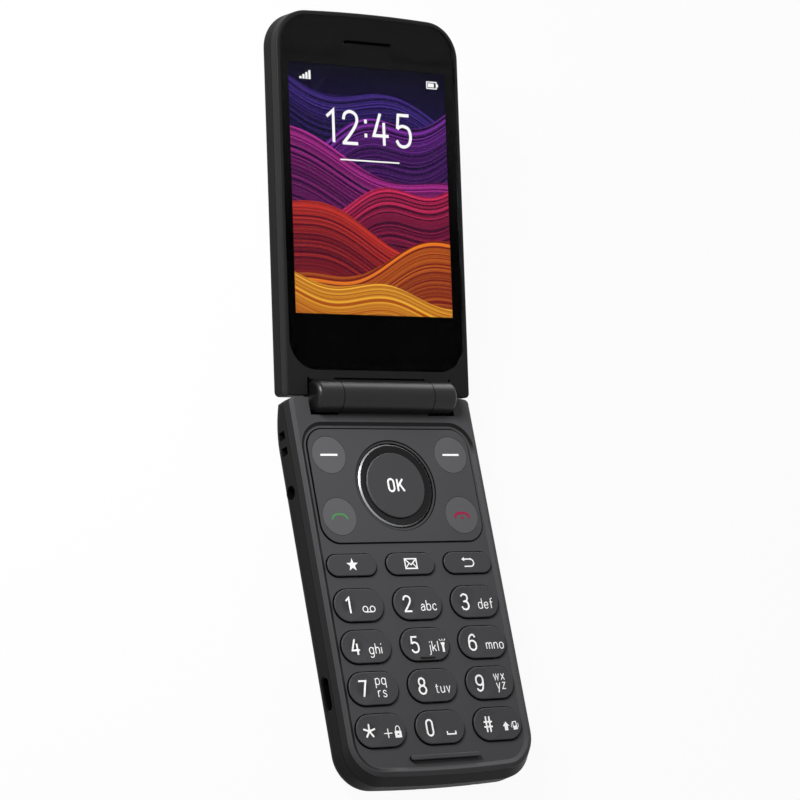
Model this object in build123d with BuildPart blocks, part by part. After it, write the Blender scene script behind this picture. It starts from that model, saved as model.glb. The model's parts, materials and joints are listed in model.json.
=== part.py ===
"""Clamshell mobile phone lying open on its back: a base with keys, a lid with a display, a hinge.

X runs across the phone, Y from the foot of the base towards the hinge, Z up out of the keypad.
The origin lies on the base's flat back, halfway along the reach. Lengths are millimetres and angles degrees.
Places along a half are distances from the hinge axis, depths in the lid run inwards from its face.
"""

import os
from math import cos, radians, sin

from build123d import *

# Whole phone
width = 55.4
reach = 98.5  # hinge axis to the far end of either half
base_thickness = 10.2
lid_thickness = 7.5
closed_gap = 0.7  # between the two front faces when shut
open_angle = 165.4
half_turn = 180.0
end_arch = 1.0
corner_radius = 9.4
hinge_end_gap = 0.1  # hinge axis to the straight end of either half
hinge_corner_radius = 1.2
face_edge = 0.45
foot_bulge = 1.0  # the base's foot stands out this far beyond the reach
parting_groove = 0.15

# Fits
overrun = 1.0
seat_gap = 0.05
running_gap = 0.05
drop_in_gap = 0.15

# Hinge
barrel_radius = 4.3
barrel_bore = 3.0
barrel_length = 27.2
knuckle_length = 7.2
knuckle_rounding = 1.3
hinge_side_gap = 0.2
hinge_swing_gap = 0.5
hinge_end_room = 0.8
tongue_thickness = 1.2
tongue_reach = 6.2
tongue_start = 0.8
barrel_tongue_inset = 3.6
knuckle_tongue_inset = 0.6
cam_radius = 2.6
cam_shaft_radius = 1.6
cam_shaft_length = 10.0
cam_end_wall = 2.2
cartridge_length = 12.4
bush_wall = 0.65
bush_overlap = 6.6  # how far the bush reaches into the barrel
bush_end_wall = 1.6
flex_thickness = 0.2
flex_roll_radius = 2.0
flex_width = 4.0
flex_drop = 1.5  # hinge axis to the strip that leaves the roll
flex_tail = 6.0

# Base casing
front_band = 2.8  # height of the front housing at the side walls
housing_wall = 1.6
field_margin = 2.8
field_depth = 0.5
field_plate = 1.0
field_corner = 6.0
rim_edge_inset = 0.5  # the front band leans in by this at the sides
rim_foot_inset = 1.0
rim_rise = 0.4  # outer slope, from the band up to the crest
rim_outer = 1.0
rim_crest = 0.1
rim_inner = 1.0  # inner slope, from the crest down to the key field
back_radius = 3.15
back_curve_start = 12.0
back_rise = 3.0
cover_start = 20.0
cover_height = 1.8
cover_gap = 0.2
cover_wall = 1.0
cover_side_wall = 1.6
chassis_wall = 1.6
chassis_floor = 0.6
chassis_corner = 2.0

# Keys
key_travel = 0.3
key_gap = 0.3
key_proud = 0.05  # key tops above the front face
key_lip = 0.6
key_flange = 0.4
key_plunger = 0.4
key_edge = 0.25
dish_depth = 0.2  # shallow finger dish at the left of each number key
dish_edge_gap = 0.15
plunger_radius = 1.5
key_side_margin = 0.53
key_column_gap = 3.05
key_row_gap = 2.23
number_gap = 3.33  # from the function row to the first number row
last_row_margin = 8.55  # from the last number row to the far end
number_rows = 4
number_columns = 3
function_margin = 5.85
function_height = 5.55
bump_length = 4.2
bump_width = 0.5
bump_height = 0.2
bump_edge_gap = 0.85

# Navigation cluster
nav_gap = 0.4
nav_side_margin = 0.9
nav_near_margin = 0.9
nav_length = 29.6
nav_corner = 5.0
nav_plate_thickness = 0.8
nav_proud = 0.3  # plate top above the key field
nav_key_share = 0.1002  # round keys' radius as a share of the plate's width
nav_key_gap = 0.1
nav_key_side_gap = 0.92
nav_key_end_gap = 1.92
ring_share = 0.2262  # ring's radius as a share of the plate's width
ring_band = 2.25
ring_gap = 0.2
ring_dish_margin = 0.9
ring_dish_depth = 0.3
ring_proud = 0.0  # ring top above the plate
ring_chamfer = 0.55
ring_slope_drop = 0.35  # the ring's top falls towards the middle key
ring_lip = 0.65
ring_lip_thickness = 0.3
ring_lip_drop = 0.4
ring_step = 0.7
ring_step_drop = 0.1
ok_gap = 0.14
ok_proud = 0.05
ok_lip = 0.54
ok_edge = 0.15
web_inner_step = 0.8
web_outer_step = 0.75
web_thickness = 0.25
web_drop = 0.35

# Keypad stack
dome_height = 0.3
dome_radius = 1.8
dome_sheet_thickness = 0.1
board_thickness = 0.8
mat_inset = 2.6
mat_near_gap = 0.4
mat_gap = 0.05
mat_hole_radius = 2.3
mat_nav_gap = 0.6
nav_dome_inset = 1.3
board_inset = 2.0

# Foot bumper
bumper_margin = 5.4
bumper_length = 20.6
bumper_width = 1.2
bumper_proud = 0.45
bumper_seat = 0.4

# Screws
screw_shank_radius = 0.6
screw_head_radius = 1.3
screw_head_height = 0.6
screw_depth = 1.4  # how far the shank stands above the board
boss_radius = 1.8
hinge_screw_side = 3.8
hinge_screw_place = 4.4
hinge_screw_head_depth = 2.8
foot_screw_side = 8.0
foot_screw_margin = 5.3

# Base contents
battery_gap = 0.1
battery_cover_gap = 0.2
battery_near = 38.5
battery_foot_margin = 10.0
battery_side_gap = 1.6
battery_corner = 1.5
contacts_width = 9.0
contacts_length = 1.7
contacts_height = 3.0
contacts_gap = 0.2
sim_width = 15.0
sim_length = 13.0
sim_height = 1.6
sim_gap = 0.5
sim_x = 6.0
bay_width = 40.0
bay_near = 8.0
bay_far_gap = 1.6
bay_floor = 2.2
speaker_width = 17.0
speaker_gap = 0.2
speaker_corner = 2.0
speaker_x = 6.0
slot_count = 5
slot_pitch = 2.6
slot_width = 1.0
slot_length = 5.6
motor_radius = 2.0
motor_length = 9.0
motor_margin = 6.2
motor_x = 8.5
mic_width = 3.2
mic_length = 2.0
mic_height = 2.6
mic_x = -11.6
mic_hole_radius = 0.4
mic_hole_rise = 1.5
mic_wall_gap = 0.1
dock_x_places = (-4.2, 12.0)
dock_width = 2.0
dock_height = 0.9
dock_rise = 0.8
dock_inner = 0.6  # how far the contacts reach past the wall
dock_recess = 0.2

# Ports
jack_place = 23.35
jack_bore_radius = 1.8
jack_bore_length = 14.0
jack_collar_radius = 2.2
jack_height = 4.2
jack_width = 6.0
jack_length = 15.0
usb_foot_distance = 23.6
usb_width = 9.0
usb_height = 3.2
usb_length = 7.4
usb_wall = 0.3
usb_depth = 6.2
usb_recess = 0.2
usb_tongue_thickness = 0.7
usb_tongue_side_gap = 1.0
strap_places = (8.6, 12.7)
strap_hole_width = 2.1
strap_hole_height = 2.6
strap_depth = 3.8
strap_bar_depth = 1.8

# Volume key
volume_place = 31.4
volume_length = 13.0
volume_height = 2.4
volume_proud = 0.5
volume_gap = 0.25
volume_lip = 0.6
volume_lip_thickness = 0.7
volume_wall_gap = 0.3

# Lid casing
lid_front_band = 2.7
lid_wall = 1.4
lid_floor = 1.2
lid_back_radius = 1.8
lens_rim = 1.1
lens_margin = 1.95
lens_corner = 8.0
lens_gap = 0.08
lens_recess = 0.05
lens_thickness = 0.9
mask_thickness = 0.1

# Lid contents
active_side_margin = 3.8
active_start = 21.0
active_top_margin = 13.75
panel_side = 1.4
panel_foot = 2.6
panel_top = 1.6
panel_gap = 0.1
panel_thickness = 2.0
lid_board_gap = 0.15
lid_board_thickness = 0.6
lid_board_side_margin = 4.0
lid_board_start = 10.0
lid_board_top_margin = 11.0
earpiece_margin = 7.6
earpiece_slot_length = 14.0
earpiece_slot_width = 0.8
earpiece_length = 15.0
earpiece_width = 6.0
earpiece_thickness = 2.4
earpiece_cover = 0.55
outer_lens_width = 31.0
outer_lens_length = 41.0
outer_camera_gap = 6.3
outer_lens_corner = 3.0
outer_lens_thickness = 0.8
outer_ledge = 1.4
outer_panel_side = 0.6
camera_margin = 13.0
camera_radius = 3.2
camera_base = 8.4
camera_proud = 0.15
camera_base_thickness = 2.2
torch_x = 8.6
torch_radius = 1.7
torch_thickness = 1.4
torch_ledge = 0.4

# Places worked out from the sizes above
hinge_y = reach / 2
base_reach = reach + foot_bulge
foot_wall = chassis_wall + foot_bulge
rim_crest_inset = rim_edge_inset + rim_outer
rim_top_inset = rim_crest_inset + rim_crest
rim_width = rim_top_inset + rim_inner
rim_foot_extra = rim_foot_inset - rim_edge_inset
hinge_z = base_thickness + closed_gap / 2
lid_tilt = half_turn - open_angle
barrel_half = barrel_length / 2
knuckle_near = barrel_half + hinge_side_gap
knuckle_far = knuckle_near + knuckle_length
notch_far = knuckle_far + hinge_end_room
notch_radius = barrel_radius + hinge_swing_gap
seat_radius = barrel_radius + seat_gap
field_near = notch_radius + field_margin
lens_near = notch_radius + lens_margin

parting_z = base_thickness - front_band
field_z = base_thickness - field_depth
plate_under = field_z - field_plate
flange_under = plate_under - key_flange
plunger_under = flange_under - key_plunger
dome_top = plunger_under - key_travel
sheet_top = dome_top - dome_height
board_top = sheet_top - dome_sheet_thickness
board_under = board_top - board_thickness
floor_under = board_under - chassis_floor
key_top = base_thickness + key_proud
mat_top = flange_under - key_travel - mat_gap
board_near = field_near + mat_near_gap

field_width = width - 2 * rim_width
key_room = field_width - 2 * key_side_margin
key_length = (key_room - (number_columns - 1) * key_column_gap) / number_columns
key_pitch_x = key_length + key_column_gap
nav_width = field_width - 2 * nav_side_margin
nav_near = field_near + nav_near_margin
nav_place = nav_near + nav_length / 2
nav_top = field_z + nav_proud
nav_under = nav_top - nav_plate_thickness
nav_key_radius = nav_width * nav_key_share
nav_key_x = nav_width / 2 - nav_key_side_gap - nav_key_radius
nav_key_y = nav_length / 2 - nav_key_end_gap - nav_key_radius
function_place = nav_near + nav_length + function_margin
number_top = function_place + function_height / 2 + number_gap
number_room = reach - last_row_margin - number_top
key_height = (number_room - (number_rows - 1) * key_row_gap) / number_rows
key_pitch_y = key_height + key_row_gap
number_place = number_top + key_height / 2
dish_radius = key_height / 2 - key_edge - dish_edge_gap
dish_ball_radius = (dish_radius**2 + dish_depth**2) / (2 * dish_depth)
dish_x = (key_length - key_height) / 2
ring_radius = nav_width * ring_share
ring_bore = ring_radius - ring_band
ring_step_radius = ring_bore + ring_step
ring_top = nav_top + ring_proud
ring_lip_top = nav_under - ring_lip_drop
ring_lip_under = ring_lip_top - ring_lip_thickness
ok_radius = ring_bore - ok_gap
ok_top = nav_top + ok_proud
web_top = ring_lip_under - web_drop

lens_pocket = lens_recess + lens_thickness + mask_thickness
panel_depth = lens_pocket + panel_gap
lid_board_depth = panel_depth + panel_thickness + lid_board_gap
lid_board_back = lid_board_depth + lid_board_thickness
lid_floor_depth = lid_thickness - lid_floor
active_width = width - 2 * active_side_margin
active_length = reach - active_top_margin - active_start
panel_width = active_width + 2 * panel_side
panel_length = active_length + panel_foot + panel_top
panel_middle = active_start - panel_foot + panel_length / 2
earpiece_place = reach - earpiece_margin
camera_place = reach - camera_margin
outer_lens_middle = camera_place - camera_base / 2 - outer_camera_gap - outer_lens_length / 2

lid_face = Plane(
    origin=(0, hinge_y, hinge_z),
    x_dir=(1, 0, 0),
    z_dir=(0, -sin(radians(lid_tilt)), cos(radians(lid_tilt))),
).offset(-closed_gap / 2)

lid_outward = Axis(lid_face.origin, lid_face.z_dir)

function_keys = ("favourite_key", "message_key", "back_key")
number_keys = (
    ("key_1", "key_2", "key_3"),
    ("key_4", "key_5", "key_6"),
    ("key_7", "key_8", "key_9"),
    ("key_star", "key_0", "key_hash"),
)
nav_keys = {
    "left_soft_key": (-nav_key_x, nav_place - nav_key_y),
    "right_soft_key": (nav_key_x, nav_place - nav_key_y),
    "call_key": (-nav_key_x, nav_place + nav_key_y),
    "end_key": (nav_key_x, nav_place + nav_key_y),
}


def base_level(z, x=0.0, place=0.0):
    """Level plane in the base, over a point given by its side offset and place from the hinge."""
    return Plane(origin=(x, hinge_y - place, z))


def lid_level(depth):
    """Plane in the lid at a depth below its front face, with local Y running up the lid."""
    return lid_face.offset(-depth)


def hinge_station(x):
    """Plane square to the hinge axis."""
    return Plane(origin=(x, hinge_y, hinge_z), x_dir=(0, 1, 0), z_dir=(1, 0, 0))


def wall_station(side, place, z):
    """Plane on a side wall of the base, facing inwards, with local X along the phone."""
    return Plane(
        origin=(side * width / 2, hinge_y - place, z),
        x_dir=(0, 1, 0),
        z_dir=(-side, 0, 0),
    )


def foot_station(x, z):
    """Plane on the foot of the base, facing inwards."""
    return Plane(origin=(x, hinge_y - base_reach, z), x_dir=(1, 0, 0), z_dir=(0, 1, 0))


def panel(end, inset, near, near_radius, far_extra=0.0):
    """Sketch that follows a half's outline at an inset, and a further one at its far end.

    End is 1 for the lid and -1 for the base.
    """
    half = width / 2 - inset
    far = reach - inset - far_extra
    shoulder = end * (far - end_arch)
    near_group, far_group = (0, -1) if end > 0 else (-1, 0)
    with BuildSketch() as outline:
        with BuildLine():
            Polyline((-half, shoulder), (-half, end * near), (half, end * near), (half, shoulder))
            ThreePointArc((half, shoulder), (0, end * far), (-half, shoulder))
        make_face()
        fillet(outline.vertices().group_by(Axis.Y)[far_group], corner_radius - inset)
        if near_radius > 0:
            fillet(outline.vertices().group_by(Axis.Y)[near_group], near_radius)
    return outline.sketch


def foot_distance(x):
    """Distance from the hinge axis to the arched foot at a side offset."""
    return reach - end_arch * (2 * x / width) ** 2


def finish_piece(piece, name):
    """Labels a finished piece and writes it out."""
    piece.part.label = name
    export_step(piece.part, f"parts/{name}.step")


def key_places():
    """Name, side offset and place of each long key."""
    for column, name in enumerate(function_keys):
        yield name, (column - 1) * key_pitch_x, function_place
    for row, names in enumerate(number_keys):
        for column, name in enumerate(names):
            yield name, (column - 1) * key_pitch_x, number_place + row * key_pitch_y


def all_key_points():
    """Sketch points under every key that has one plunger."""
    long_keys = [(x, -place) for _, x, place in key_places()]
    round_keys = [(x, -place) for x, place in nav_keys.values()]
    return long_keys + round_keys + [(0, -nav_place)]


def screw_points():
    """Side offset, place and height of the head's seat for each screw of the base."""
    hinge_seat = cover_height + hinge_screw_head_depth
    for side in (-1, 1):
        yield side * (width / 2 - hinge_screw_side), hinge_screw_place, hinge_seat
        yield side * (width / 2 - foot_screw_side), reach - foot_screw_margin, floor_under


def foot_screw_points():
    """Sketch points of the two screws at the foot, which pass through the board."""
    return [(x, -place) for x, place, _ in screw_points() if place > field_near]


os.makedirs("parts", exist_ok=True)

base_outline = panel(-1, 0.0, hinge_end_gap, hinge_corner_radius, -foot_bulge)
rim_edge_outline = panel(
    -1, rim_edge_inset, hinge_end_gap, hinge_corner_radius, rim_foot_extra
)
rim_crest_outline = panel(
    -1, rim_crest_inset, hinge_end_gap, hinge_corner_radius, rim_foot_extra
)
lid_outline = panel(1, 0.0, hinge_end_gap, hinge_corner_radius)
lens_outline = panel(1, lens_rim, lens_near, lens_corner)
lens_opening = panel(1, lens_rim - lens_gap, lens_near - lens_gap, lens_corner)
mat_outline = panel(-1, mat_inset, board_near, field_corner)

# Base blank: the closed shape that the chassis and the battery cover share
back_end = hinge_y - hinge_end_gap
with BuildPart() as base_blank:
    with BuildSketch(Plane.YZ):
        with BuildLine():
            curve_start = (hinge_y - back_curve_start, 0)
            curve_end = (back_end, back_rise)
            foot = hinge_y - base_reach
            Polyline(curve_start, (foot, 0), (foot, parting_z), (back_end, parting_z), curve_end)
            TangentArc(curve_start, curve_end, tangent=(1, 0))
        make_face()
    extrude(amount=width / 2, both=True)
    with BuildSketch(base_level(0)):
        add(panel(-1, 0.0, hinge_end_gap, 0.0, -foot_bulge))
    extrude(amount=parting_z, mode=Mode.INTERSECT)
    back_edges = base_blank.faces().sort_by(Axis.Z)[0].edges()
    fillet(back_edges - back_edges.filter_by(Axis.X), back_radius)
    with BuildSketch(base_level(0)):
        add(base_outline)
    extrude(amount=parting_z, mode=Mode.INTERSECT)

# Battery cover
with BuildPart() as battery_cover:
    add(base_blank.part)
    cover_near = cover_start + cover_gap
    cover_length = base_reach + overrun - cover_near
    with BuildSketch(base_level(0, 0, cover_near + cover_length / 2)):
        Rectangle(width + overrun, cover_length)
    extrude(amount=cover_height, mode=Mode.INTERSECT)
    with BuildSketch(base_level(cover_wall)):
        add(panel(-1, cover_side_wall, cover_near + cover_side_wall, chassis_corner))
    extrude(amount=cover_height, mode=Mode.SUBTRACT)
    # fine groove along the edge that meets the chassis
    cover_edge = back_radius - (back_radius**2 - (back_radius - cover_height) ** 2) ** 0.5
    with BuildSketch(base_level(cover_height - parting_groove)):
        add(base_outline)
        add(
            panel(-1, cover_edge + parting_groove, hinge_end_gap, 0.0, -foot_bulge),
            mode=Mode.SUBTRACT,
        )
    extrude(amount=parting_groove, mode=Mode.SUBTRACT)
finish_piece(battery_cover, "battery_cover")

# Chassis
jack_z = board_under - jack_height / 2
usb_z = board_under - usb_height / 2
usb_place = reach - usb_foot_distance
strap_z = (cover_height + parting_z) / 2
volume_z = floor_under - volume_wall_gap - volume_lip - volume_height / 2
dock_z = cover_height + dock_rise
mic_hole_z = cover_height + mic_hole_rise
bay_far = cover_start - bay_far_gap
tongue_top = parting_z
with BuildPart() as base_chassis:
    add(base_blank.part)
    open_length = base_reach + overrun - cover_start
    with BuildSketch(base_level(-overrun, 0, cover_start + open_length / 2)):
        Rectangle(width + overrun, open_length)
    extrude(amount=cover_height + overrun, mode=Mode.SUBTRACT)
    with BuildSketch(base_level(cover_height - overrun)):
        add(panel(-1, chassis_wall, cover_start + chassis_wall, chassis_corner))
    extrude(amount=floor_under - cover_height + overrun, mode=Mode.SUBTRACT)
    with BuildSketch(base_level(board_under)):
        add(panel(-1, chassis_wall, board_near - drop_in_gap, chassis_corner))
    extrude(amount=front_band, mode=Mode.SUBTRACT)
    with BuildSketch(base_level(bay_floor, 0, (bay_near + bay_far) / 2)):
        RectangleRounded(bay_width, bay_far - bay_near, chassis_corner)
    extrude(amount=base_thickness, mode=Mode.SUBTRACT)
    # fine groove along the edge that meets the front housing
    with BuildSketch(base_level(parting_z - parting_groove)):
        add(base_outline)
        add(
            panel(
                -1,
                parting_groove,
                hinge_end_gap + parting_groove,
                hinge_corner_radius - parting_groove,
                -foot_bulge,
            ),
            mode=Mode.SUBTRACT,
        )
    extrude(amount=parting_groove, mode=Mode.SUBTRACT)
    # speaker slots
    with BuildSketch(base_level(-overrun, speaker_x, (bay_near + bay_far) / 2)):
        with GridLocations(slot_pitch, 0, slot_count, 1):
            SlotOverall(slot_length, slot_width, rotation=half_turn / 2)
    extrude(amount=bay_floor + 2 * overrun, mode=Mode.SUBTRACT)
    # room for the hinge tubes and the barrel's tongue
    for side in (-1, 1):
        with BuildSketch(hinge_station(side * barrel_half)):
            Circle(notch_radius)
        extrude(amount=side * (notch_far - barrel_half), mode=Mode.SUBTRACT)
    with BuildSketch(hinge_station(0)):
        Circle(seat_radius)
    extrude(amount=barrel_half, both=True, mode=Mode.SUBTRACT)
    with BuildSketch(base_level(tongue_top - tongue_thickness - seat_gap, 0, tongue_reach / 2)):
        Rectangle(2 * (barrel_half - barrel_tongue_inset + seat_gap), tongue_reach + 2 * seat_gap)
    extrude(amount=tongue_thickness + overrun, mode=Mode.SUBTRACT)
    # strap eyelet: two holes joined behind a bar
    for place in strap_places:
        with BuildSketch(wall_station(-1, place, strap_z)):
            Rectangle(strap_hole_width, strap_hole_height)
        extrude(amount=strap_depth, mode=Mode.SUBTRACT)
    strap_span = strap_places[-1] - strap_places[0]
    with BuildSketch(wall_station(-1, strap_places[0] + strap_span / 2, strap_z).offset(strap_bar_depth)):
        Rectangle(strap_span, strap_hole_height)
    extrude(amount=strap_depth - strap_bar_depth, mode=Mode.SUBTRACT)
    # audio jack and charging socket, each with its seat in the floor
    with BuildSketch(wall_station(-1, jack_place, jack_z)):
        Circle(jack_collar_radius + seat_gap)
    extrude(amount=chassis_wall + overrun, mode=Mode.SUBTRACT)
    with BuildSketch(wall_station(-1, jack_place, jack_z).offset(chassis_wall)):
        Rectangle(jack_width + 2 * drop_in_gap, jack_height + 2 * drop_in_gap)
    extrude(amount=jack_length, mode=Mode.SUBTRACT)
    with BuildSketch(wall_station(-1, usb_place, usb_z).offset(-overrun)):
        SlotOverall(usb_width + 2 * seat_gap, usb_height + 2 * seat_gap)
    extrude(amount=usb_length + overrun + drop_in_gap, mode=Mode.SUBTRACT)
    # volume key window
    with BuildSketch(wall_station(1, volume_place, volume_z)):
        SlotOverall(volume_length + 2 * volume_gap, volume_height + 2 * volume_gap)
    extrude(amount=chassis_wall + overrun, mode=Mode.SUBTRACT)
    # foot: microphone hole and dock contacts
    with BuildSketch(foot_station(mic_x, mic_hole_z).offset(-overrun)):
        Circle(mic_hole_radius)
    extrude(amount=foot_wall + end_arch + 2 * overrun, mode=Mode.SUBTRACT)
    for dock_x in dock_x_places:
        with BuildSketch(foot_station(dock_x, dock_z).offset(-overrun)):
            Rectangle(dock_width + 2 * seat_gap, dock_height + 2 * seat_gap)
        extrude(amount=foot_wall + end_arch + 2 * overrun, mode=Mode.SUBTRACT)
    # screw holes
    for x, place, seat in screw_points():
        with BuildSketch(base_level(-overrun, x, place)):
            Circle(screw_shank_radius + drop_in_gap)
        extrude(amount=parting_z + 2 * overrun, mode=Mode.SUBTRACT)
        with BuildSketch(base_level(-overrun, x, place)):
            Circle(screw_head_radius + drop_in_gap)
        extrude(amount=seat + overrun, mode=Mode.SUBTRACT)
finish_piece(base_chassis, "base_chassis")

# Front housing of the base
screw_top = board_top + screw_depth
with BuildPart() as base_front_housing:
    # band that leans in, then the outer slope of the rim
    with BuildSketch(base_level(parting_z)):
        add(base_outline)
    with BuildSketch(base_level(base_thickness - rim_rise)):
        add(rim_edge_outline)
    loft(ruled=True)
    with BuildSketch(base_level(base_thickness - rim_rise)):
        add(rim_edge_outline)
    with BuildSketch(base_level(base_thickness)):
        add(rim_crest_outline)
    loft(ruled=True)
    with BuildSketch(base_level(parting_z)):
        add(panel(-1, housing_wall, field_near, chassis_corner))
    extrude(amount=plate_under - parting_z, mode=Mode.SUBTRACT)
    # screw bosses and pilot holes
    with BuildSketch(base_level(board_top)):
        with Locations(*foot_screw_points()):
            Circle(boss_radius)
    extrude(amount=field_z - board_top)
    for x, place, seat in screw_points():
        with BuildSketch(base_level(parting_z - overrun, x, place)):
            Circle(screw_shank_radius + seat_gap)
        extrude(amount=screw_top - parting_z + overrun, mode=Mode.SUBTRACT)
    # inner slope of the rim, down to the sunk key field
    with BuildSketch(base_level(base_thickness)):
        add(panel(-1, rim_top_inset, field_near - rim_inner, field_corner + rim_inner, rim_foot_extra))
    with BuildSketch(base_level(field_z)):
        add(panel(-1, rim_width, field_near, field_corner, rim_foot_extra))
    loft(ruled=True, mode=Mode.SUBTRACT)
    # navigation plate's pocket and the holes under it
    with BuildSketch(base_level(nav_under, 0, nav_place)):
        RectangleRounded(nav_width + 2 * nav_gap, nav_length + 2 * nav_gap, nav_corner + nav_gap)
    extrude(amount=base_thickness, mode=Mode.SUBTRACT)
    with BuildSketch(base_level(parting_z, 0, nav_place)):
        Circle(ring_radius + ring_lip + ring_gap)
    extrude(amount=base_thickness, mode=Mode.SUBTRACT)
    for x, place in nav_keys.values():
        with BuildSketch(base_level(parting_z, x, place)):
            Circle(nav_key_radius + key_gap)
        extrude(amount=base_thickness, mode=Mode.SUBTRACT)
    for name, x, place in key_places():
        hole_height = function_height if name in function_keys else key_height
        with BuildSketch(base_level(parting_z, x, place)):
            SlotOverall(key_length + 2 * key_gap, hole_height + 2 * key_gap)
        extrude(amount=base_thickness, mode=Mode.SUBTRACT)
    # bumper seat
    with BuildSketch(base_level(field_z - bumper_seat, 0, reach - bumper_margin)):
        SlotOverall(bumper_length + 2 * seat_gap, bumper_width + 2 * seat_gap)
    extrude(amount=field_depth, mode=Mode.SUBTRACT)
    # hinge
    for side in (-1, 1):
        with BuildSketch(hinge_station(side * barrel_half)):
            Circle(notch_radius)
        extrude(amount=side * (notch_far - barrel_half), mode=Mode.SUBTRACT)
    with BuildSketch(hinge_station(0)):
        Circle(seat_radius)
    extrude(amount=barrel_half, both=True, mode=Mode.SUBTRACT)
finish_piece(base_front_housing, "base_front_housing")

# Navigation plate
with BuildPart() as nav_plate:
    with BuildSketch(base_level(nav_under, 0, nav_place)):
        RectangleRounded(nav_width, nav_length, nav_corner)
        Circle(ring_radius + ring_gap, mode=Mode.SUBTRACT)
        with GridLocations(2 * nav_key_x, 2 * nav_key_y, 2, 2):
            Circle(nav_key_radius + nav_key_gap, mode=Mode.SUBTRACT)
    extrude(amount=nav_plate_thickness)
    with BuildSketch(base_level(nav_top - ring_dish_depth, 0, nav_place)):
        Circle(ring_radius + ring_dish_margin)
    extrude(amount=nav_plate_thickness, mode=Mode.SUBTRACT)
finish_piece(nav_plate, "nav_plate")

# Four-way ring
nav_centre = (0, hinge_y - nav_place, 0)
ring_step_z = nav_under - ring_step_drop
with BuildPart() as nav_ring:
    with BuildSketch(Plane(origin=nav_centre, x_dir=(1, 0, 0), z_dir=(0, -1, 0))):
        with BuildLine():
            Polyline(
                (ring_step_radius, ring_lip_under),
                (ring_radius + ring_lip, ring_lip_under),
                (ring_radius + ring_lip, ring_lip_top),
                (ring_radius, ring_lip_top),
                (ring_radius, ring_top - ring_chamfer),
                (ring_radius - ring_chamfer, ring_top),
                (ring_bore, ring_top - ring_slope_drop),
                (ring_bore, ring_step_z),
                (ring_step_radius, ring_step_z),
                close=True,
            )
        make_face()
    revolve(axis=Axis(nav_centre, (0, 0, 1)))
finish_piece(nav_ring, "nav_ring")

# Soft web under the ring
with BuildPart() as nav_web:
    with BuildSketch(base_level(web_top, 0, nav_place)):
        Circle(ring_radius + web_outer_step)
        Circle(ring_bore + web_inner_step, mode=Mode.SUBTRACT)
    extrude(amount=-web_thickness)
finish_piece(nav_web, "nav_web")

# Middle key
with BuildPart() as ok_key:
    with BuildSketch(base_level(ring_lip_under, 0, nav_place)):
        Circle(ok_radius + ok_lip)
    extrude(amount=ring_lip_thickness)
    with BuildSketch(base_level(ring_lip_under, 0, nav_place)):
        Circle(ok_radius)
    extrude(amount=ok_top - ring_lip_under)
    chamfer(ok_key.faces().sort_by(Axis.Z)[-1].edges(), ok_edge)
    with BuildSketch(base_level(plunger_under, 0, nav_place)):
        Circle(plunger_radius)
    extrude(amount=ring_lip_under - plunger_under)
finish_piece(ok_key, "ok_key")

# Round keys of the navigation plate
for name, (x, place) in nav_keys.items():
    with BuildPart() as round_key:
        with BuildSketch(base_level(flange_under, x, place)):
            Circle(nav_key_radius + key_lip)
        extrude(amount=key_flange)
        with BuildSketch(base_level(plate_under, x, place)):
            Circle(nav_key_radius)
        extrude(amount=nav_top - plate_under)
        with BuildSketch(base_level(plunger_under, x, place)):
            Circle(plunger_radius)
        extrude(amount=key_plunger)
    finish_piece(round_key, name)

# Function and number keys
for name, x, place in key_places():
    height = function_height if name in function_keys else key_height
    with BuildPart() as long_key:
        with BuildSketch(base_level(flange_under, x, place)):
            SlotOverall(key_length + 2 * key_lip, height + 2 * key_lip)
        extrude(amount=key_flange)
        with BuildSketch(base_level(plate_under, x, place)):
            SlotOverall(key_length, height)
        extrude(amount=key_top - plate_under)
        fillet(long_key.faces().sort_by(Axis.Z)[-1].edges(), key_edge)
        with BuildSketch(base_level(plunger_under, x, place)):
            Circle(plunger_radius)
        extrude(amount=key_plunger)
        if name not in function_keys:
            with Locations((x - dish_x, hinge_y - place, key_top + dish_ball_radius - dish_depth)):
                Sphere(dish_ball_radius, mode=Mode.SUBTRACT)
        if name == "key_5":
            bump_place = place + height / 2 - bump_edge_gap
            with BuildSketch(base_level(key_top - bump_height, x, bump_place)):
                SlotOverall(bump_length, bump_width)
            extrude(amount=2 * bump_height)
    finish_piece(long_key, name)

# Bumper that the lid closes on
with BuildPart() as foot_bumper:
    with BuildSketch(base_level(field_z - bumper_seat, 0, reach - bumper_margin)):
        SlotOverall(bumper_length, bumper_width)
    extrude(amount=bumper_seat + field_depth + bumper_proud)
    fillet(foot_bumper.faces().sort_by(Axis.Z)[-1].edges(), key_edge)
finish_piece(foot_bumper, "foot_bumper")

# Keypad stack on the board
with BuildPart() as keypad_mat:
    with BuildSketch(base_level(sheet_top)):
        add(mat_outline)
        with Locations(*all_key_points()):
            Circle(mat_hole_radius, mode=Mode.SUBTRACT)
        with Locations((0, -nav_place)):
            Circle(ring_radius + ring_lip + mat_nav_gap, mode=Mode.SUBTRACT)
        with Locations(*foot_screw_points()):
            Circle(boss_radius + drop_in_gap, mode=Mode.SUBTRACT)
    extrude(amount=mat_top - sheet_top)
finish_piece(keypad_mat, "keypad_mat")

with BuildPart() as dome_sheet:
    with BuildSketch(base_level(board_top)):
        add(mat_outline)
        with Locations(*foot_screw_points()):
            Circle(boss_radius + drop_in_gap, mode=Mode.SUBTRACT)
    extrude(amount=dome_sheet_thickness)
    with BuildSketch(base_level(sheet_top)):
        with Locations(*all_key_points()):
            Circle(dome_radius)
        with Locations((0, -nav_place)):
            with PolarLocations(ring_radius - nav_dome_inset, 4):
                Circle(dome_radius)
    extrude(amount=dome_height)
finish_piece(dome_sheet, "dome_sheet")

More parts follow.
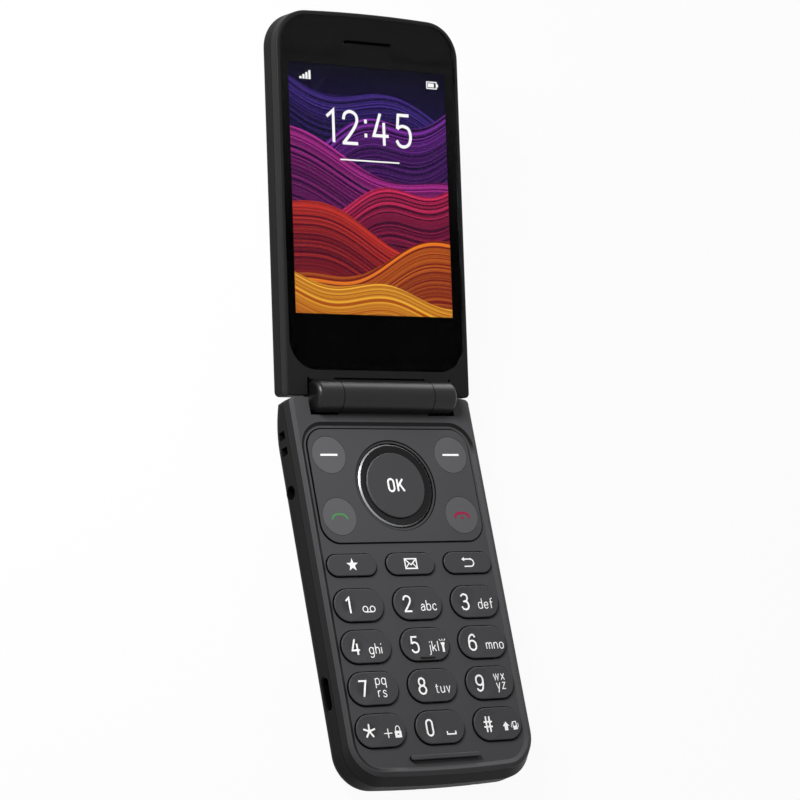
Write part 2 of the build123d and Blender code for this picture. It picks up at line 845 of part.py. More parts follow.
with BuildPart() as main_board:
    with BuildSketch(base_level(board_under)):
        add(panel(-1, board_inset, board_near, chassis_corner))
        with Locations(*foot_screw_points()):
            Circle(screw_shank_radius + drop_in_gap, mode=Mode.SUBTRACT)
    extrude(amount=board_thickness)
finish_piece(main_board, "main_board")

with BuildPart() as base_screws:
    for x, place, seat in screw_points():
        with BuildSketch(base_level(seat - screw_head_height, x, place)):
            Circle(screw_head_radius)
        extrude(amount=screw_head_height)
        with BuildSketch(base_level(seat, x, place)):
            Circle(screw_shank_radius)
        extrude(amount=screw_top - seat)
finish_piece(base_screws, "base_screws")

# Battery and what lies beside it
battery_far = reach - battery_foot_margin
battery_left = usb_length + battery_side_gap - width / 2
battery_right = width / 2 - chassis_wall - battery_side_gap
with BuildPart() as battery:
    battery_middle = ((battery_left + battery_right) / 2, (battery_near + battery_far) / 2)
    with BuildSketch(base_level(cover_wall + battery_cover_gap, *battery_middle)):
        RectangleRounded(battery_right - battery_left, battery_far - battery_near, battery_corner)
    extrude(amount=floor_under - battery_gap - cover_wall - battery_cover_gap)
finish_piece(battery, "battery")

contacts_place = battery_near - contacts_gap - contacts_length / 2
with BuildPart() as battery_contacts:
    with BuildSketch(base_level(floor_under, sim_x, contacts_place)):
        Rectangle(contacts_width, contacts_length)
    extrude(amount=-contacts_height)
finish_piece(battery_contacts, "battery_contacts")

sim_place = contacts_place - contacts_length / 2 - sim_gap - sim_length / 2
with BuildPart() as sim_socket:
    with BuildSketch(base_level(floor_under, sim_x, sim_place)):
        Rectangle(sim_width, sim_length)
    extrude(amount=-sim_height)
finish_piece(sim_socket, "sim_socket")

with BuildPart() as loudspeaker:
    with BuildSketch(base_level(bay_floor, speaker_x, (bay_near + bay_far) / 2)):
        RectangleRounded(speaker_width, bay_far - bay_near - 2 * speaker_gap, speaker_corner)
    extrude(amount=board_under - bay_floor - speaker_gap)
finish_piece(loudspeaker, "loudspeaker")

with BuildPart() as vibration_motor:
    motor_z = floor_under - motor_radius - seat_gap
    motor_y = hinge_y - reach + motor_margin
    with BuildSketch(Plane(origin=(motor_x, motor_y, motor_z), x_dir=(0, 1, 0), z_dir=(1, 0, 0))):
        Circle(motor_radius)
    extrude(amount=motor_length / 2, both=True)
finish_piece(vibration_motor, "vibration_motor")

with BuildPart() as microphone:
    mic_place = foot_distance(mic_x) - chassis_wall - mic_wall_gap - mic_length / 2
    with BuildSketch(base_level(floor_under, mic_x, mic_place)):
        Rectangle(mic_width, mic_length)
    extrude(amount=-mic_height)
finish_piece(microphone, "microphone")

with BuildPart() as dock_contacts:
    for dock_x in dock_x_places:
        dock_start = reach - foot_distance(dock_x) + dock_recess
        with BuildSketch(foot_station(dock_x, dock_z).offset(dock_start)):
            Rectangle(dock_width, dock_height)
        extrude(amount=foot_wall + dock_inner - dock_recess)
finish_piece(dock_contacts, "dock_contacts")

# Sockets in the left wall
with BuildPart() as audio_jack:
    with BuildSketch(wall_station(-1, jack_place, jack_z).offset(chassis_wall)):
        Rectangle(jack_width, jack_height)
    extrude(amount=jack_length - chassis_wall)
    with BuildSketch(wall_station(-1, jack_place, jack_z)):
        Circle(jack_collar_radius)
    extrude(amount=chassis_wall)
    with BuildSketch(wall_station(-1, jack_place, jack_z)):
        Circle(jack_bore_radius)
    extrude(amount=jack_bore_length, mode=Mode.SUBTRACT)
finish_piece(audio_jack, "audio_jack")

with BuildPart() as usb_socket:
    usb_mouth = wall_station(-1, usb_place, usb_z).offset(usb_recess)
    with BuildSketch(usb_mouth):
        SlotOverall(usb_width, usb_height)
    extrude(amount=usb_length - usb_recess)
    with BuildSketch(usb_mouth):
        SlotOverall(usb_width - 2 * usb_wall, usb_height - 2 * usb_wall)
    extrude(amount=usb_depth, mode=Mode.SUBTRACT)
    with BuildSketch(usb_mouth.offset(usb_tongue_side_gap)):
        Rectangle(usb_width - 2 * usb_wall - 2 * usb_tongue_side_gap, usb_tongue_thickness)
    extrude(amount=usb_depth - usb_tongue_side_gap)
finish_piece(usb_socket, "usb_socket")

with BuildPart() as volume_key:
    volume_inner = chassis_wall + volume_wall_gap
    with BuildSketch(wall_station(1, volume_place, volume_z).offset(-volume_proud)):
        SlotOverall(volume_length, volume_height)
    extrude(amount=volume_proud + volume_inner)
    fillet(volume_key.faces().sort_by(Axis.X)[-1].edges(), key_edge)
    with BuildSketch(wall_station(1, volume_place, volume_z).offset(volume_inner)):
        SlotOverall(volume_length + 2 * volume_lip, volume_height + 2 * volume_lip)
    extrude(amount=volume_lip_thickness)
finish_piece(volume_key, "volume_key")

# Hinge pieces on the base
with BuildPart() as hinge_barrel:
    with BuildSketch(hinge_station(0)):
        Circle(barrel_radius)
        Circle(barrel_bore, mode=Mode.SUBTRACT)
    extrude(amount=barrel_half, both=True)
    tongue_run = tongue_reach - tongue_start
    with BuildSketch(base_level(tongue_top - tongue_thickness, 0, tongue_start + tongue_run / 2)):
        Rectangle(2 * (barrel_half - barrel_tongue_inset), tongue_run)
    extrude(amount=tongue_thickness)
finish_piece(hinge_barrel, "hinge_barrel")

cartridge_start = hinge_side_gap - barrel_half
with BuildPart() as hinge_cartridge:
    with BuildSketch(hinge_station(cartridge_start)):
        Circle(barrel_bore - seat_gap)
        Circle(cam_shaft_radius + running_gap, mode=Mode.SUBTRACT)
    extrude(amount=cartridge_length)
finish_piece(hinge_cartridge, "hinge_cartridge")

# Hinge pieces on the lid
bush_radius = barrel_bore - running_gap
flex_slot = flex_thickness + 2 * drop_in_gap
flex_x = knuckle_near + (knuckle_length - bush_end_wall) / 2
with BuildPart() as hinge_knuckles:
    for side in (-1, 1):
        with BuildSketch(hinge_station(side * knuckle_near)):
            Circle(barrel_radius)
        extrude(amount=side * knuckle_length)
    ends = hinge_knuckles.faces().sort_by(Axis.X)
    fillet(ends[0].edges() + ends[-1].edges(), knuckle_rounding)
    tongue_middle = (knuckle_near + knuckle_far) / 2
    with BuildSketch(lid_level(lid_front_band)):
        with Locations((0, tongue_start + tongue_run / 2)):
            with GridLocations(2 * tongue_middle, 0, 2, 1):
                Rectangle(knuckle_length - 2 * knuckle_tongue_inset, tongue_run)
    extrude(amount=-tongue_thickness)
    with BuildSketch(hinge_station(-knuckle_near)):
        Circle(cam_radius + seat_gap)
    extrude(amount=cam_end_wall - knuckle_length, mode=Mode.SUBTRACT)
    with BuildSketch(hinge_station(knuckle_near)):
        Circle(barrel_bore)
    extrude(amount=knuckle_length - bush_end_wall, mode=Mode.SUBTRACT)
    with BuildSketch(lid_level(-closed_gap / 2)):
        with Locations((flex_x, flex_drop)):
            Rectangle(flex_width + 2 * drop_in_gap, flex_slot)
    extrude(amount=-lid_thickness, mode=Mode.SUBTRACT)
finish_piece(hinge_knuckles, "hinge_knuckles")

with BuildPart() as hinge_cam:
    cam_length = knuckle_length - cam_end_wall - seat_gap
    with BuildSketch(hinge_station(-knuckle_near)):
        Circle(cam_radius)
    extrude(amount=-cam_length)
    with BuildSketch(hinge_station(-knuckle_near)):
        Circle(cam_shaft_radius)
    extrude(amount=cam_shaft_length)
finish_piece(hinge_cam, "hinge_cam")

bush_start = barrel_half - bush_overlap
with BuildPart() as hinge_bush:
    with BuildSketch(hinge_station(bush_start)):
        Circle(bush_radius)
        Circle(bush_radius - bush_wall, mode=Mode.SUBTRACT)
    extrude(amount=knuckle_far - bush_end_wall - seat_gap - bush_start)
    with BuildSketch(lid_level(-closed_gap / 2)):
        with Locations((flex_x, flex_drop)):
            Rectangle(flex_width + 2 * drop_in_gap, flex_slot)
    extrude(amount=-lid_thickness, mode=Mode.SUBTRACT)
finish_piece(hinge_bush, "hinge_bush")

flex_depth = barrel_radius - closed_gap / 2 + drop_in_gap
with BuildPart() as flex_cable:
    with BuildSketch(hinge_station(bush_start + bush_wall)):
        Circle(flex_roll_radius)
        Circle(flex_roll_radius - flex_thickness, mode=Mode.SUBTRACT)
    extrude(amount=flex_x + flex_width / 2 - bush_start - bush_wall)
    flex_exit = (flex_roll_radius**2 - flex_drop**2) ** 0.5 - closed_gap / 2 - flex_thickness
    with BuildSketch(lid_level(flex_exit)):
        with Locations((flex_x, flex_drop)):
            Rectangle(flex_width, flex_thickness)
    extrude(amount=flex_exit - flex_depth)
    flex_end = lid_board_start + flex_tail
    with BuildSketch(lid_level(flex_depth)):
        with Locations((flex_x, (flex_drop - flex_thickness / 2 + flex_end) / 2)):
            Rectangle(flex_width, flex_end - flex_drop + flex_thickness / 2)
    extrude(amount=-flex_thickness)
finish_piece(flex_cable, "flex_cable")

# Front housing of the lid
with BuildPart() as lid_front_housing:
    with BuildSketch(lid_level(lid_front_band)):
        add(lid_outline)
    extrude(amount=lid_front_band)
    fillet(lid_front_housing.faces().sort_by(lid_outward)[-1].edges(), face_edge)
    with BuildSketch(lid_level(lens_pocket)):
        add(lens_opening)
    extrude(amount=lens_pocket + overrun, mode=Mode.SUBTRACT)
    with BuildSketch(lid_level(lid_front_band)):
        with Locations((0, panel_middle)):
            Rectangle(panel_width + 2 * drop_in_gap, panel_length + 2 * drop_in_gap)
        with Locations((0, earpiece_place)):
            SlotOverall(earpiece_slot_length, earpiece_slot_width)
    extrude(amount=lid_front_band, mode=Mode.SUBTRACT)
    with BuildSketch(lid_level(lid_front_band)):
        with Locations((0, earpiece_place)):
            RectangleRounded(
                earpiece_length + 2 * drop_in_gap,
                earpiece_width + 2 * drop_in_gap,
                chassis_corner,
            )
    extrude(amount=lid_front_band - lens_pocket - earpiece_cover, mode=Mode.SUBTRACT)
    with BuildSketch(hinge_station(0)):
        Circle(notch_radius)
    extrude(amount=knuckle_near, both=True, mode=Mode.SUBTRACT)
    for side in (-1, 1):
        with BuildSketch(hinge_station(side * knuckle_near)):
            Circle(seat_radius)
        extrude(amount=side * knuckle_length, mode=Mode.SUBTRACT)
        with BuildSketch(hinge_station(side * knuckle_far)):
            Circle(notch_radius)
        extrude(amount=side * hinge_end_room, mode=Mode.SUBTRACT)
finish_piece(lid_front_housing, "lid_front_housing")

# Rear shell of the lid
with BuildPart() as lid_rear_housing:
    with BuildSketch(lid_level(lid_thickness)):
        add(lid_outline)
    extrude(amount=lid_thickness - lid_front_band)
    fillet(lid_rear_housing.faces().sort_by(lid_outward)[0].edges(), lid_back_radius)
    with BuildSketch(lid_level(lid_floor_depth)):
        add(panel(1, lid_wall, lens_near, chassis_corner))
    extrude(amount=lid_floor_depth, mode=Mode.SUBTRACT)
    # fine groove along the edge that meets the front housing
    with BuildSketch(lid_level(lid_front_band + parting_groove)):
        add(lid_outline)
        add(
            panel(
                1,
                parting_groove,
                hinge_end_gap + parting_groove,
                hinge_corner_radius - parting_groove,
            ),
            mode=Mode.SUBTRACT,
        )
    extrude(amount=parting_groove, mode=Mode.SUBTRACT)
    # windows for the outer display, the camera and the torch
    with BuildSketch(lid_level(lid_thickness + overrun)):
        with Locations((0, outer_lens_middle)):
            RectangleRounded(
                outer_lens_width + 2 * seat_gap,
                outer_lens_length + 2 * seat_gap,
                outer_lens_corner,
            )
    extrude(amount=outer_lens_thickness + overrun, mode=Mode.SUBTRACT)
    with BuildSketch(lid_level(lid_thickness + overrun)):
        with Locations((0, outer_lens_middle)):
            Rectangle(outer_lens_width - 2 * outer_ledge, outer_lens_length - 2 * outer_ledge)
        with Locations((0, camera_place)):
            Circle(camera_radius + seat_gap)
        with Locations((torch_x, camera_place)):
            Circle(torch_radius + seat_gap)
    extrude(amount=lid_thickness, mode=Mode.SUBTRACT)
    # hinge: room for the barrel, seats for the knuckles, their tongues and the flat cable
    with BuildSketch(hinge_station(0)):
        Circle(notch_radius)
    extrude(amount=knuckle_near, both=True, mode=Mode.SUBTRACT)
    for side in (-1, 1):
        with BuildSketch(hinge_station(side * knuckle_near)):
            Circle(seat_radius)
        extrude(amount=side * knuckle_length, mode=Mode.SUBTRACT)
        with BuildSketch(hinge_station(side * knuckle_far)):
            Circle(notch_radius)
        extrude(amount=side * hinge_end_room, mode=Mode.SUBTRACT)
    with BuildSketch(lid_level(lid_front_band + tongue_thickness + seat_gap)):
        with Locations((0, tongue_reach / 2)):
            with GridLocations(2 * tongue_middle, 0, 2, 1):
                Rectangle(
                    knuckle_length - 2 * knuckle_tongue_inset + 2 * seat_gap,
                    tongue_reach + 2 * seat_gap,
                )
    extrude(amount=lid_thickness, mode=Mode.SUBTRACT)
    with BuildSketch(lid_level(flex_depth + flex_thickness + drop_in_gap)):
        flex_room_start = flex_drop - flex_thickness / 2 - drop_in_gap
        with Locations((flex_x, (flex_room_start + lens_near + overrun) / 2)):
            Rectangle(flex_width + 2 * drop_in_gap, lens_near + overrun - flex_room_start)
    extrude(amount=lid_thickness, mode=Mode.SUBTRACT)
finish_piece(lid_rear_housing, "lid_rear_housing")

# Main display behind its window
with BuildPart() as display_lens:
    with BuildSketch(lid_level(lens_recess + lens_thickness)):
        add(lens_outline)
        with Locations((0, earpiece_place)):
            SlotOverall(earpiece_slot_length, earpiece_slot_width, mode=Mode.SUBTRACT)
    extrude(amount=lens_thickness)
finish_piece(display_lens, "display_lens")

with BuildPart() as lens_mask:
    with BuildSketch(lid_level(lens_pocket)):
        add(lens_outline)
        with Locations((0, active_start + active_length / 2)):
            Rectangle(active_width, active_length, mode=Mode.SUBTRACT)
        with Locations((0, earpiece_place)):
            SlotOverall(earpiece_slot_length, earpiece_slot_width, mode=Mode.SUBTRACT)
    extrude(amount=mask_thickness)
finish_piece(lens_mask, "lens_mask")

with BuildPart() as display_panel:
    with BuildSketch(lid_level(panel_depth + panel_thickness)):
        with Locations((0, panel_middle)):
            Rectangle(panel_width, panel_length)
    extrude(amount=panel_thickness)
finish_piece(display_panel, "display_panel")

# Earpiece and its mesh
with BuildPart() as earpiece_mesh:
    with BuildSketch(lid_level(lens_pocket)):
        with Locations((0, earpiece_place)):
            SlotOverall(earpiece_slot_length - 2 * seat_gap, earpiece_slot_width - 2 * seat_gap)
    extrude(amount=lens_pocket - 2 * lens_recess - mask_thickness)
finish_piece(earpiece_mesh, "earpiece_mesh")

with BuildPart() as earpiece:
    with BuildSketch(lid_level(lens_pocket + earpiece_cover)):
        with Locations((0, earpiece_place)):
            RectangleRounded(earpiece_length, earpiece_width, chassis_corner)
    extrude(amount=-earpiece_thickness)
finish_piece(earpiece, "earpiece")

# Board and small pieces at the back of the lid
with BuildPart() as lid_board:
    board_length = reach - lid_board_top_margin - lid_board_start
    with BuildSketch(lid_level(lid_board_back)):
        with Locations((0, lid_board_start + board_length / 2)):
            Rectangle(width - 2 * lid_board_side_margin, board_length)
    extrude(amount=lid_board_thickness)
finish_piece(lid_board, "lid_board")

with BuildPart() as outer_display:
    with BuildSketch(lid_level(lid_floor_depth - seat_gap)):
        with Locations((0, outer_lens_middle)):
            Rectangle(
                outer_lens_width - 2 * outer_panel_side,
                outer_lens_length - 2 * outer_panel_side,
            )
    extrude(amount=lid_floor_depth - 2 * seat_gap - lid_board_back)
finish_piece(outer_display, "outer_display")

with BuildPart() as outer_lens:
    with BuildSketch(lid_level(lid_thickness)):
        with Locations((0, outer_lens_middle)):
            RectangleRounded(outer_lens_width, outer_lens_length, outer_lens_corner)
    extrude(amount=outer_lens_thickness)
finish_piece(outer_lens, "outer_lens")

with BuildPart() as camera_module:
    with BuildSketch(lid_level(lid_floor_depth - seat_gap)):
        with Locations((0, camera_place)):
            Rectangle(camera_base, camera_base)
    extrude(amount=camera_base_thickness)
    with BuildSketch(lid_level(lid_thickness + camera_proud)):
        with Locations((0, camera_place)):
            Circle(camera_radius)
    extrude(amount=lid_floor + camera_proud + seat_gap)
finish_piece(camera_module, "camera_module")

with BuildPart() as torch_lens:
    with BuildSketch(lid_level(lid_thickness)):
        with Locations((torch_x, camera_place)):
            Circle(torch_radius)
    extrude(amount=torch_thickness)
    with BuildSketch(lid_level(lid_floor_depth - seat_gap)):
        with Locations((torch_x, camera_place)):
            Circle(torch_radius + torch_ledge)
    extrude(amount=torch_thickness)
finish_piece(torch_lens, "torch_lens")
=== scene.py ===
"""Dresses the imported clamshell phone: finishes, printed legends, the lit display and a studio."""

import json
import math

import bmesh
import bpy
from mathutils import Matrix, Vector


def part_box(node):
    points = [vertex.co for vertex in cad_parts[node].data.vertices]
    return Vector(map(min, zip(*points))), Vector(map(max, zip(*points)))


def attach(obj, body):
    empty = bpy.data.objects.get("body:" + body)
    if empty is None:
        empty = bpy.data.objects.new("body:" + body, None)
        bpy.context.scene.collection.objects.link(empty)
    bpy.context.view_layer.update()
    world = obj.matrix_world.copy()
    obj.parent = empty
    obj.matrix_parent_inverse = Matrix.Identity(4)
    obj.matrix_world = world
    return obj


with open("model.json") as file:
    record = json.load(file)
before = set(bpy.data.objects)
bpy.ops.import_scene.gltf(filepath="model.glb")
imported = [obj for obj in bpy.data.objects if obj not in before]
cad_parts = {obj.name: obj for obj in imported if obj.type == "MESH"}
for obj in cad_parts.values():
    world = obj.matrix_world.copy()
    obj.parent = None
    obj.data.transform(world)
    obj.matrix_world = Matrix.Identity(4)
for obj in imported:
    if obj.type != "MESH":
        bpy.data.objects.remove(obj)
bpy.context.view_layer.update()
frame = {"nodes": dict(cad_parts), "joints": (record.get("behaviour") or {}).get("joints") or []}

bl_info = {
    "name": "Clamshell phone looks",
    "version": (1, 0, 0),
    "blender": (4, 5, 0),
    "location": "View3D > Sidebar > Phone",
    "description": "Finishes, legends, display and studio for the packed clamshell phone",
    "category": "Object",
}

NODES = frame["nodes"]
MM = 0.001

LID_HINGE = next(joint for joint in frame["joints"] if joint["name"] == "lid_hinge")
HINGE = Vector(LID_HINGE["pos_m"])
LID_TILT = math.pi - math.radians(LID_HINGE["range_deg"][1])
LID_FRAME = Matrix.Translation(HINGE) @ Matrix.Rotation(LID_TILT, 4, "X")
FRONT_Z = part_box("base_front_housing")[1].z
FIELD_Z = FRONT_Z - 0.5 * MM
LID_FACE = FRONT_Z - HINGE.z

NUMBER_KEYS = [f"key_{name}" for name in (*"123456789", "star", "0", "hash")]
FUNCTION_KEYS = ["favourite_key", "message_key", "back_key"]
ROUND_KEYS = ["left_soft_key", "right_soft_key", "call_key", "end_key"]

# Distances from the middle of the navigation keys at which a tone sets in and ends, in millimetres
KEY_EDGE = (8.4, 8.43)
PLATED_EDGE = (10.5, 10.55, 10.87, 10.92)
# PLATE_HOLE and PLATE_STEP bound painted shade in the plate's hole and in the step round the ring
PLATE_HOLE = (11.26, 11.3)
PLATE_STEP = (11.74, 11.78, 11.95, 12.0)

BAR_FOOT = -3.5 * MM
# Share of painted shade on the rim's left flank
FLANK_SHADE = 0.18
# Strength of the painted sheen on the window's mask, standing in for the window's reflection
MASK_PAINTED_SHEEN = 0.009
CLOUD_SCALE = 45.0
GRAIN_RELIEF = 0.12
WHITE = (1.0, 1.0, 1.0, 1.0)
BLACK = (0.0, 0.0, 0.0, 1.0)

# The figures and letters on the keys, in millimetres from a key's middle
FIGURE_X = -3.1
LETTER_FOOT = -2.0

# The marks on the displays, in millimetres up from the hinge and across
TIME = "12:45"
TIME_GAP = 30.0
CLOCK_FOOT = 64.5
CLOCK_WEIGHT, OUTER_WEIGHT, LINE_WEIGHT = 0.8, 0.6, 0.35
UNDERLINE = [(-9, 60.6), (9, 60.6)]
SIGNAL_PLACE = (-20.5, 80.6)
CHARGE_PLACE = (20.0, 81.6)

LAYER = 0.002 * MM
BEND_STEPS, LOOP_STEPS, TURN_STEPS = 5, 14, 48
WIRE_SIDES = 8
SHARP_ANGLE = math.radians(35)

LAMPS = (
    # name, place, the point it is turned to, side and power
    ("key_lamp", (-0.2, 0.18, 0.18), (0.0, 0.02, 0.01), 0.12, 1.2),
    ("back_lamp", (0.3, 0.46, 0.16), (0.0, 0.05, 0.012), 0.25, 0.8),
)

# The photograph's viewpoint
SENSOR_WIDTH, FOCAL_LENGTH = 36.0, 134.7
CAMERA_PLACE = Vector((-0.41867, -0.16384, 0.60771))
CAMERA_RIGHT = Vector((0.8309, -0.1735, 0.5286))
CAMERA_UP = Vector((-0.0113, 0.9446, 0.3279))


def screen_colour(red, green, blue):
    """Linear colour of a screen colour given in steps of 0 to 255."""
    linear = []
    for step in (red, green, blue):
        level = step / 255
        linear.append(level / 12.92 if level <= 0.04045 else ((level + 0.055) / 1.055) ** 2.4)
    return tuple(linear)


def length_property(name, description, millimetres):
    """A length that a user may change, given in millimetres."""
    return bpy.props.FloatProperty(
        name=name, description=description, default=millimetres * MM, min=0.0,
        subtype="DISTANCE", unit="LENGTH", precision=5,
    )


def colour_property(name, description, red, green, blue):
    """A colour that a user may change, given as a screen colour."""
    return bpy.props.FloatVectorProperty(
        name=name, description=description, default=screen_colour(red, green, blue),
        size=3, min=0.0, max=1.0, subtype="COLOR",
    )


class PhoneSizes(bpy.types.PropertyGroup):
    """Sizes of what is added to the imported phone."""

    digit_height: length_property("Digit height", "Height of the big figures on the keys", 4.4)
    digit_weight: length_property("Digit weight", "Width of the lines of the big figures", 0.45)
    letter_height: length_property("Letter height", "Height of the tall small letters on the keys", 2.8)
    letter_weight: length_property("Letter weight", "Width of the lines of the small letters", 0.23)
    ok_height: length_property("Middle legend height", "Height of the letters on the middle key", 3.7)
    ok_weight: length_property("Middle legend weight", "Width of the lines of the middle legend", 0.5)
    legend_rise: length_property("Legend rise", "How far a legend stands above its key", 0.02)
    legend_depth: length_property("Legend depth", "How far a legend reaches into its key", 0.05)
    dish_radius: length_property("Dish radius", "Radius of the finger dish on a number key", 3.75)
    dish_depth: length_property("Dish depth", "Depth of the finger dish on a number key", 0.2)
    clock_height: length_property("Clock height", "Height of the figures on the main display", 9.0)
    outer_clock_height: length_property("Outer clock height", "Height of the figures on the outer display", 6.0)
    picture_depth: length_property("Picture depth", "Depth of the drawn marks below the lid's face", 1.11)
    wire: length_property("Wire radius", "Radius of the wires in both sound meshes", 0.045)
    wire_pitch: length_property("Wire pitch", "Spacing of the wires in both sound meshes", 0.26)
    contact_pitch: length_property("Contact pitch", "Spacing of the contacts in the charging socket", 0.5)
    grain: length_property("Grain", "Size of the fine grain of the moulded plastic", 0.16)
    floor: length_property("Floor", "Side of the floor", 6000.0)


class PhoneColours(bpy.types.PropertyGroup):
    """Colours of the finishes."""

    front: colour_property("Front", "Base front and plate", 76, 76, 78)
    key: colour_property("Key", "Function and number keys", 72, 72, 74)
    disc: colour_property("Disc", "Round keys of the plate", 98, 98, 100)
    # Band is painted shade: the base front's side walls take this tone, darker than its face, where less light falls
    # on them
    band: colour_property("Band", "Upper band of the side walls", 24, 24, 25)
    # Gap is painted shade: near black on the sides of keys, bar, bumper and plate, along the bar's foot, on the
    # slope into the key field and low on the chassis
    gap: colour_property("Gap", "Sides of the keys, down in their gaps", 10, 10, 10)
    shell: colour_property("Shell", "Side walls, back and lid shell", 21, 21, 22)
    lid_front: colour_property("Lid front", "Front of the lid round its window", 29, 29, 30)
    hinge: colour_property("Hinge", "Hinge tubes", 14, 14, 15)
    ring: colour_property("Ring", "Dark face of the four-way ring", 18, 18, 19)
    plating: colour_property("Plating", "Bright edge of the ring", 158, 159, 161)
    legend: colour_property("Legend", "Printed legends", 250, 250, 250)
    call: colour_property("Call", "Legend of the call key", 78, 150, 85)
    end: colour_property("End", "Legend of the end key", 156, 36, 72)
    mask: colour_property("Mask", "Print behind the window", 4, 4, 4)
    floor: colour_property("Floor", "Studio floor", 231, 231, 231)


def sizes():
    """The sizes that are set in the scene."""
    return bpy.context.scene.phone_sizes


def colours():
    """The colours that are set in the scene."""
    return bpy.context.scene.phone_colours


# Materials


class Value:
    """An output of a node, from which more nodes can be calculated."""

    def __init__(self, nodes, socket):
        self.nodes, self.socket = nodes, socket

    def maths(self, operation, *others):
        """One Math node that starts from this value."""
        return self.nodes.value("ShaderNodeMath", dict(enumerate((self, *others))), operation=operation)

    def __add__(self, other):
        return self.maths("ADD", other)

    def __sub__(self, other):
        return self.maths("SUBTRACT", other)

    def __mul__(self, other):
        return self.maths("MULTIPLY", other)

    def __abs__(self):
        return self.maths("ABSOLUTE")

    def most(self, other):
        """The greater of this and another value."""
        return self.maths("MAXIMUM", other)

    def reach(self, other):
        """The length of a flat vector of this and another value."""
        return (self * self + other * other).maths("SQRT")

    def spread(self, low, high, start=0.3, end=0.7):
        """The range from start to end stretched to that from low to high."""
        links = {"Value": self, "From Min": start, "From Max": end, "To Min": low, "To Max": high}
        return self.nodes.value("ShaderNodeMapRange", links, "Result")

    def rise(self, start, end):
        """Zero up to start and one from end on."""
        return self.spread(0.0, 1.0, start, end)

    def fall(self, start, end):
        """One up to start and zero from end on."""
        return self.spread(1.0, 0.0, start, end)

    def band(self, start, full, fading, end):
        """One between full and fading, and zero before start and after end."""
        return self.rise(start, full) * self.fall(fading, end)


class Nodes:
    """A node tree to which nodes are added one after another."""

    def __init__(self, tree):
        self.tree = tree

    def add(self, kind, links=None, **settings):
        """Adds a node, sets its properties and joins its inputs."""
        node = self.tree.nodes.new(kind)
        for name, value in settings.items():
            setattr(node, name, value)
        for key, value in (links or {}).items():
            self.join(value, node.inputs[key])
        return node

    def value(self, kind, links=None, output=0, **settings):
        """An output of a new node."""
        return Value(self, self.add(kind, links, **settings).outputs[output])

    def join(self, value, socket):
        """Links a value to a socket, or sets a constant."""
        if isinstance(value, Value):
            self.tree.links.new(value.socket, socket)
        else:
            socket.default_value = value

    def parts(self, vector):
        """The three parts of a vector."""
        return [Value(self, socket) for socket in self.add("ShaderNodeSeparateXYZ", {0: vector}).outputs]

    def seen(self):
        """One where the eye, a reflection or a clear piece meets the surface, else zero."""
        path = self.add("ShaderNodeLightPath").outputs
        eye, gloss, clear = (Value(self, path[f"Is {ray} Ray"]) for ray in ("Camera", "Glossy", "Transmission"))
        return eye.most(gloss).most(clear)

    def show(self, share, first, second, output):
        """Mixes the shaders of two nodes into the output node."""
        links = {0: share, 1: Value(self, first.outputs[0]), 2: Value(self, second.outputs[0])}
        self.join(self.value("ShaderNodeMixShader", links), self.tree.nodes[output].inputs["Surface"])


class Finish(Nodes):
    """The nodes of a new material."""

    def __init__(self, name):
        self.material = bpy.data.materials.new(name)
        self.material.use_nodes = True
        super().__init__(self.material.node_tree)
        self.shader = self.tree.nodes["Principled BSDF"]

    def place(self):
        """Object coordinates, in metres."""
        return self.value("ShaderNodeTexCoord", output="Object")

    def spot(self):
        """Object coordinates along each axis, in metres."""
        return self.parts(self.place())

    def noise(self, scale, detail=2.0, roughness=0.5):
        """A noise of a given scale on Object coordinates."""
        links = {"Vector": self.place(), "Scale": scale, "Detail": detail, "Roughness": roughness}
        return self.value("ShaderNodeTexNoise", links, "Fac")

    def blend(self, share, first, second):
        """Mixes two colours by a share."""
        return self.value("ShaderNodeMix", {0: share, 6: first, 7: second}, 2, data_type="RGBA")

    def uneven(self, share, colour, low, high):
        """A colour between two levels of itself."""
        return self.blend(share, four(colour, low), four(colour, high))

    def mottled(self, colour, share):
        """A colour with faint clouds in it."""
        return self.uneven(self.noise(CLOUD_SCALE, 3.0).spread(0.0, 1.0), colour, 1 - share, 1 + share)

    def bump(self, height, distance, strength):
        """A bump that feeds the shader's normal."""
        links = {"Height": height, "Distance": distance, "Strength": strength}
        self.set(Normal=self.value("ShaderNodeBump", links))

    def set(self, **values):
        """Sets or links the shader's own inputs by name, with underscores for spaces."""
        for name, value in values.items():
            self.join(value, self.shader.inputs[name.replace("_", " ")])


def four(colour, level=1.0):
    """A colour with its alpha, at a level."""
    return (colour[0] * level, colour[1] * level, colour[2] * level, 1.0)


def moulded(name, colour, roughness=0.5, specular=0.15, grain_share=1.0, grain=0.35, mottle=0.05, foot=None,
            levels=(), over=None):
    """Moulded or softly painted plastic: fine grain, faint mottling and uneven sheen.

    Foot is the colour of what lies lowest. Each level is two heights, between which the next colour sets in, and
    that colour, or None for the plastic's own. Over is a function that gives the share of one more colour at each
    place, and that colour.
    """
    finish = Finish(name)
    face = finish.mottled(colour, mottle)
    shade = face if foot is None else four(foot)
    for low, high, tone in levels:
        height = finish.spot()[2]
        shade = finish.blend(height.rise(low, high), shade, face if tone is None else four(tone))
    if over:
        share, tone = over
        shade = finish.blend(share(finish), shade, tone)
    fine = finish.noise(1 / (sizes().grain * grain_share), 2.0, 0.6)
    finish.set(Base_Color=shade, Roughness=fine.spread(roughness - 0.05, roughness + 0.05),
               Specular_IOR_Level=specular)
    finish.bump(fine, sizes().grain * GRAIN_RELIEF, grain)
    return finish.material


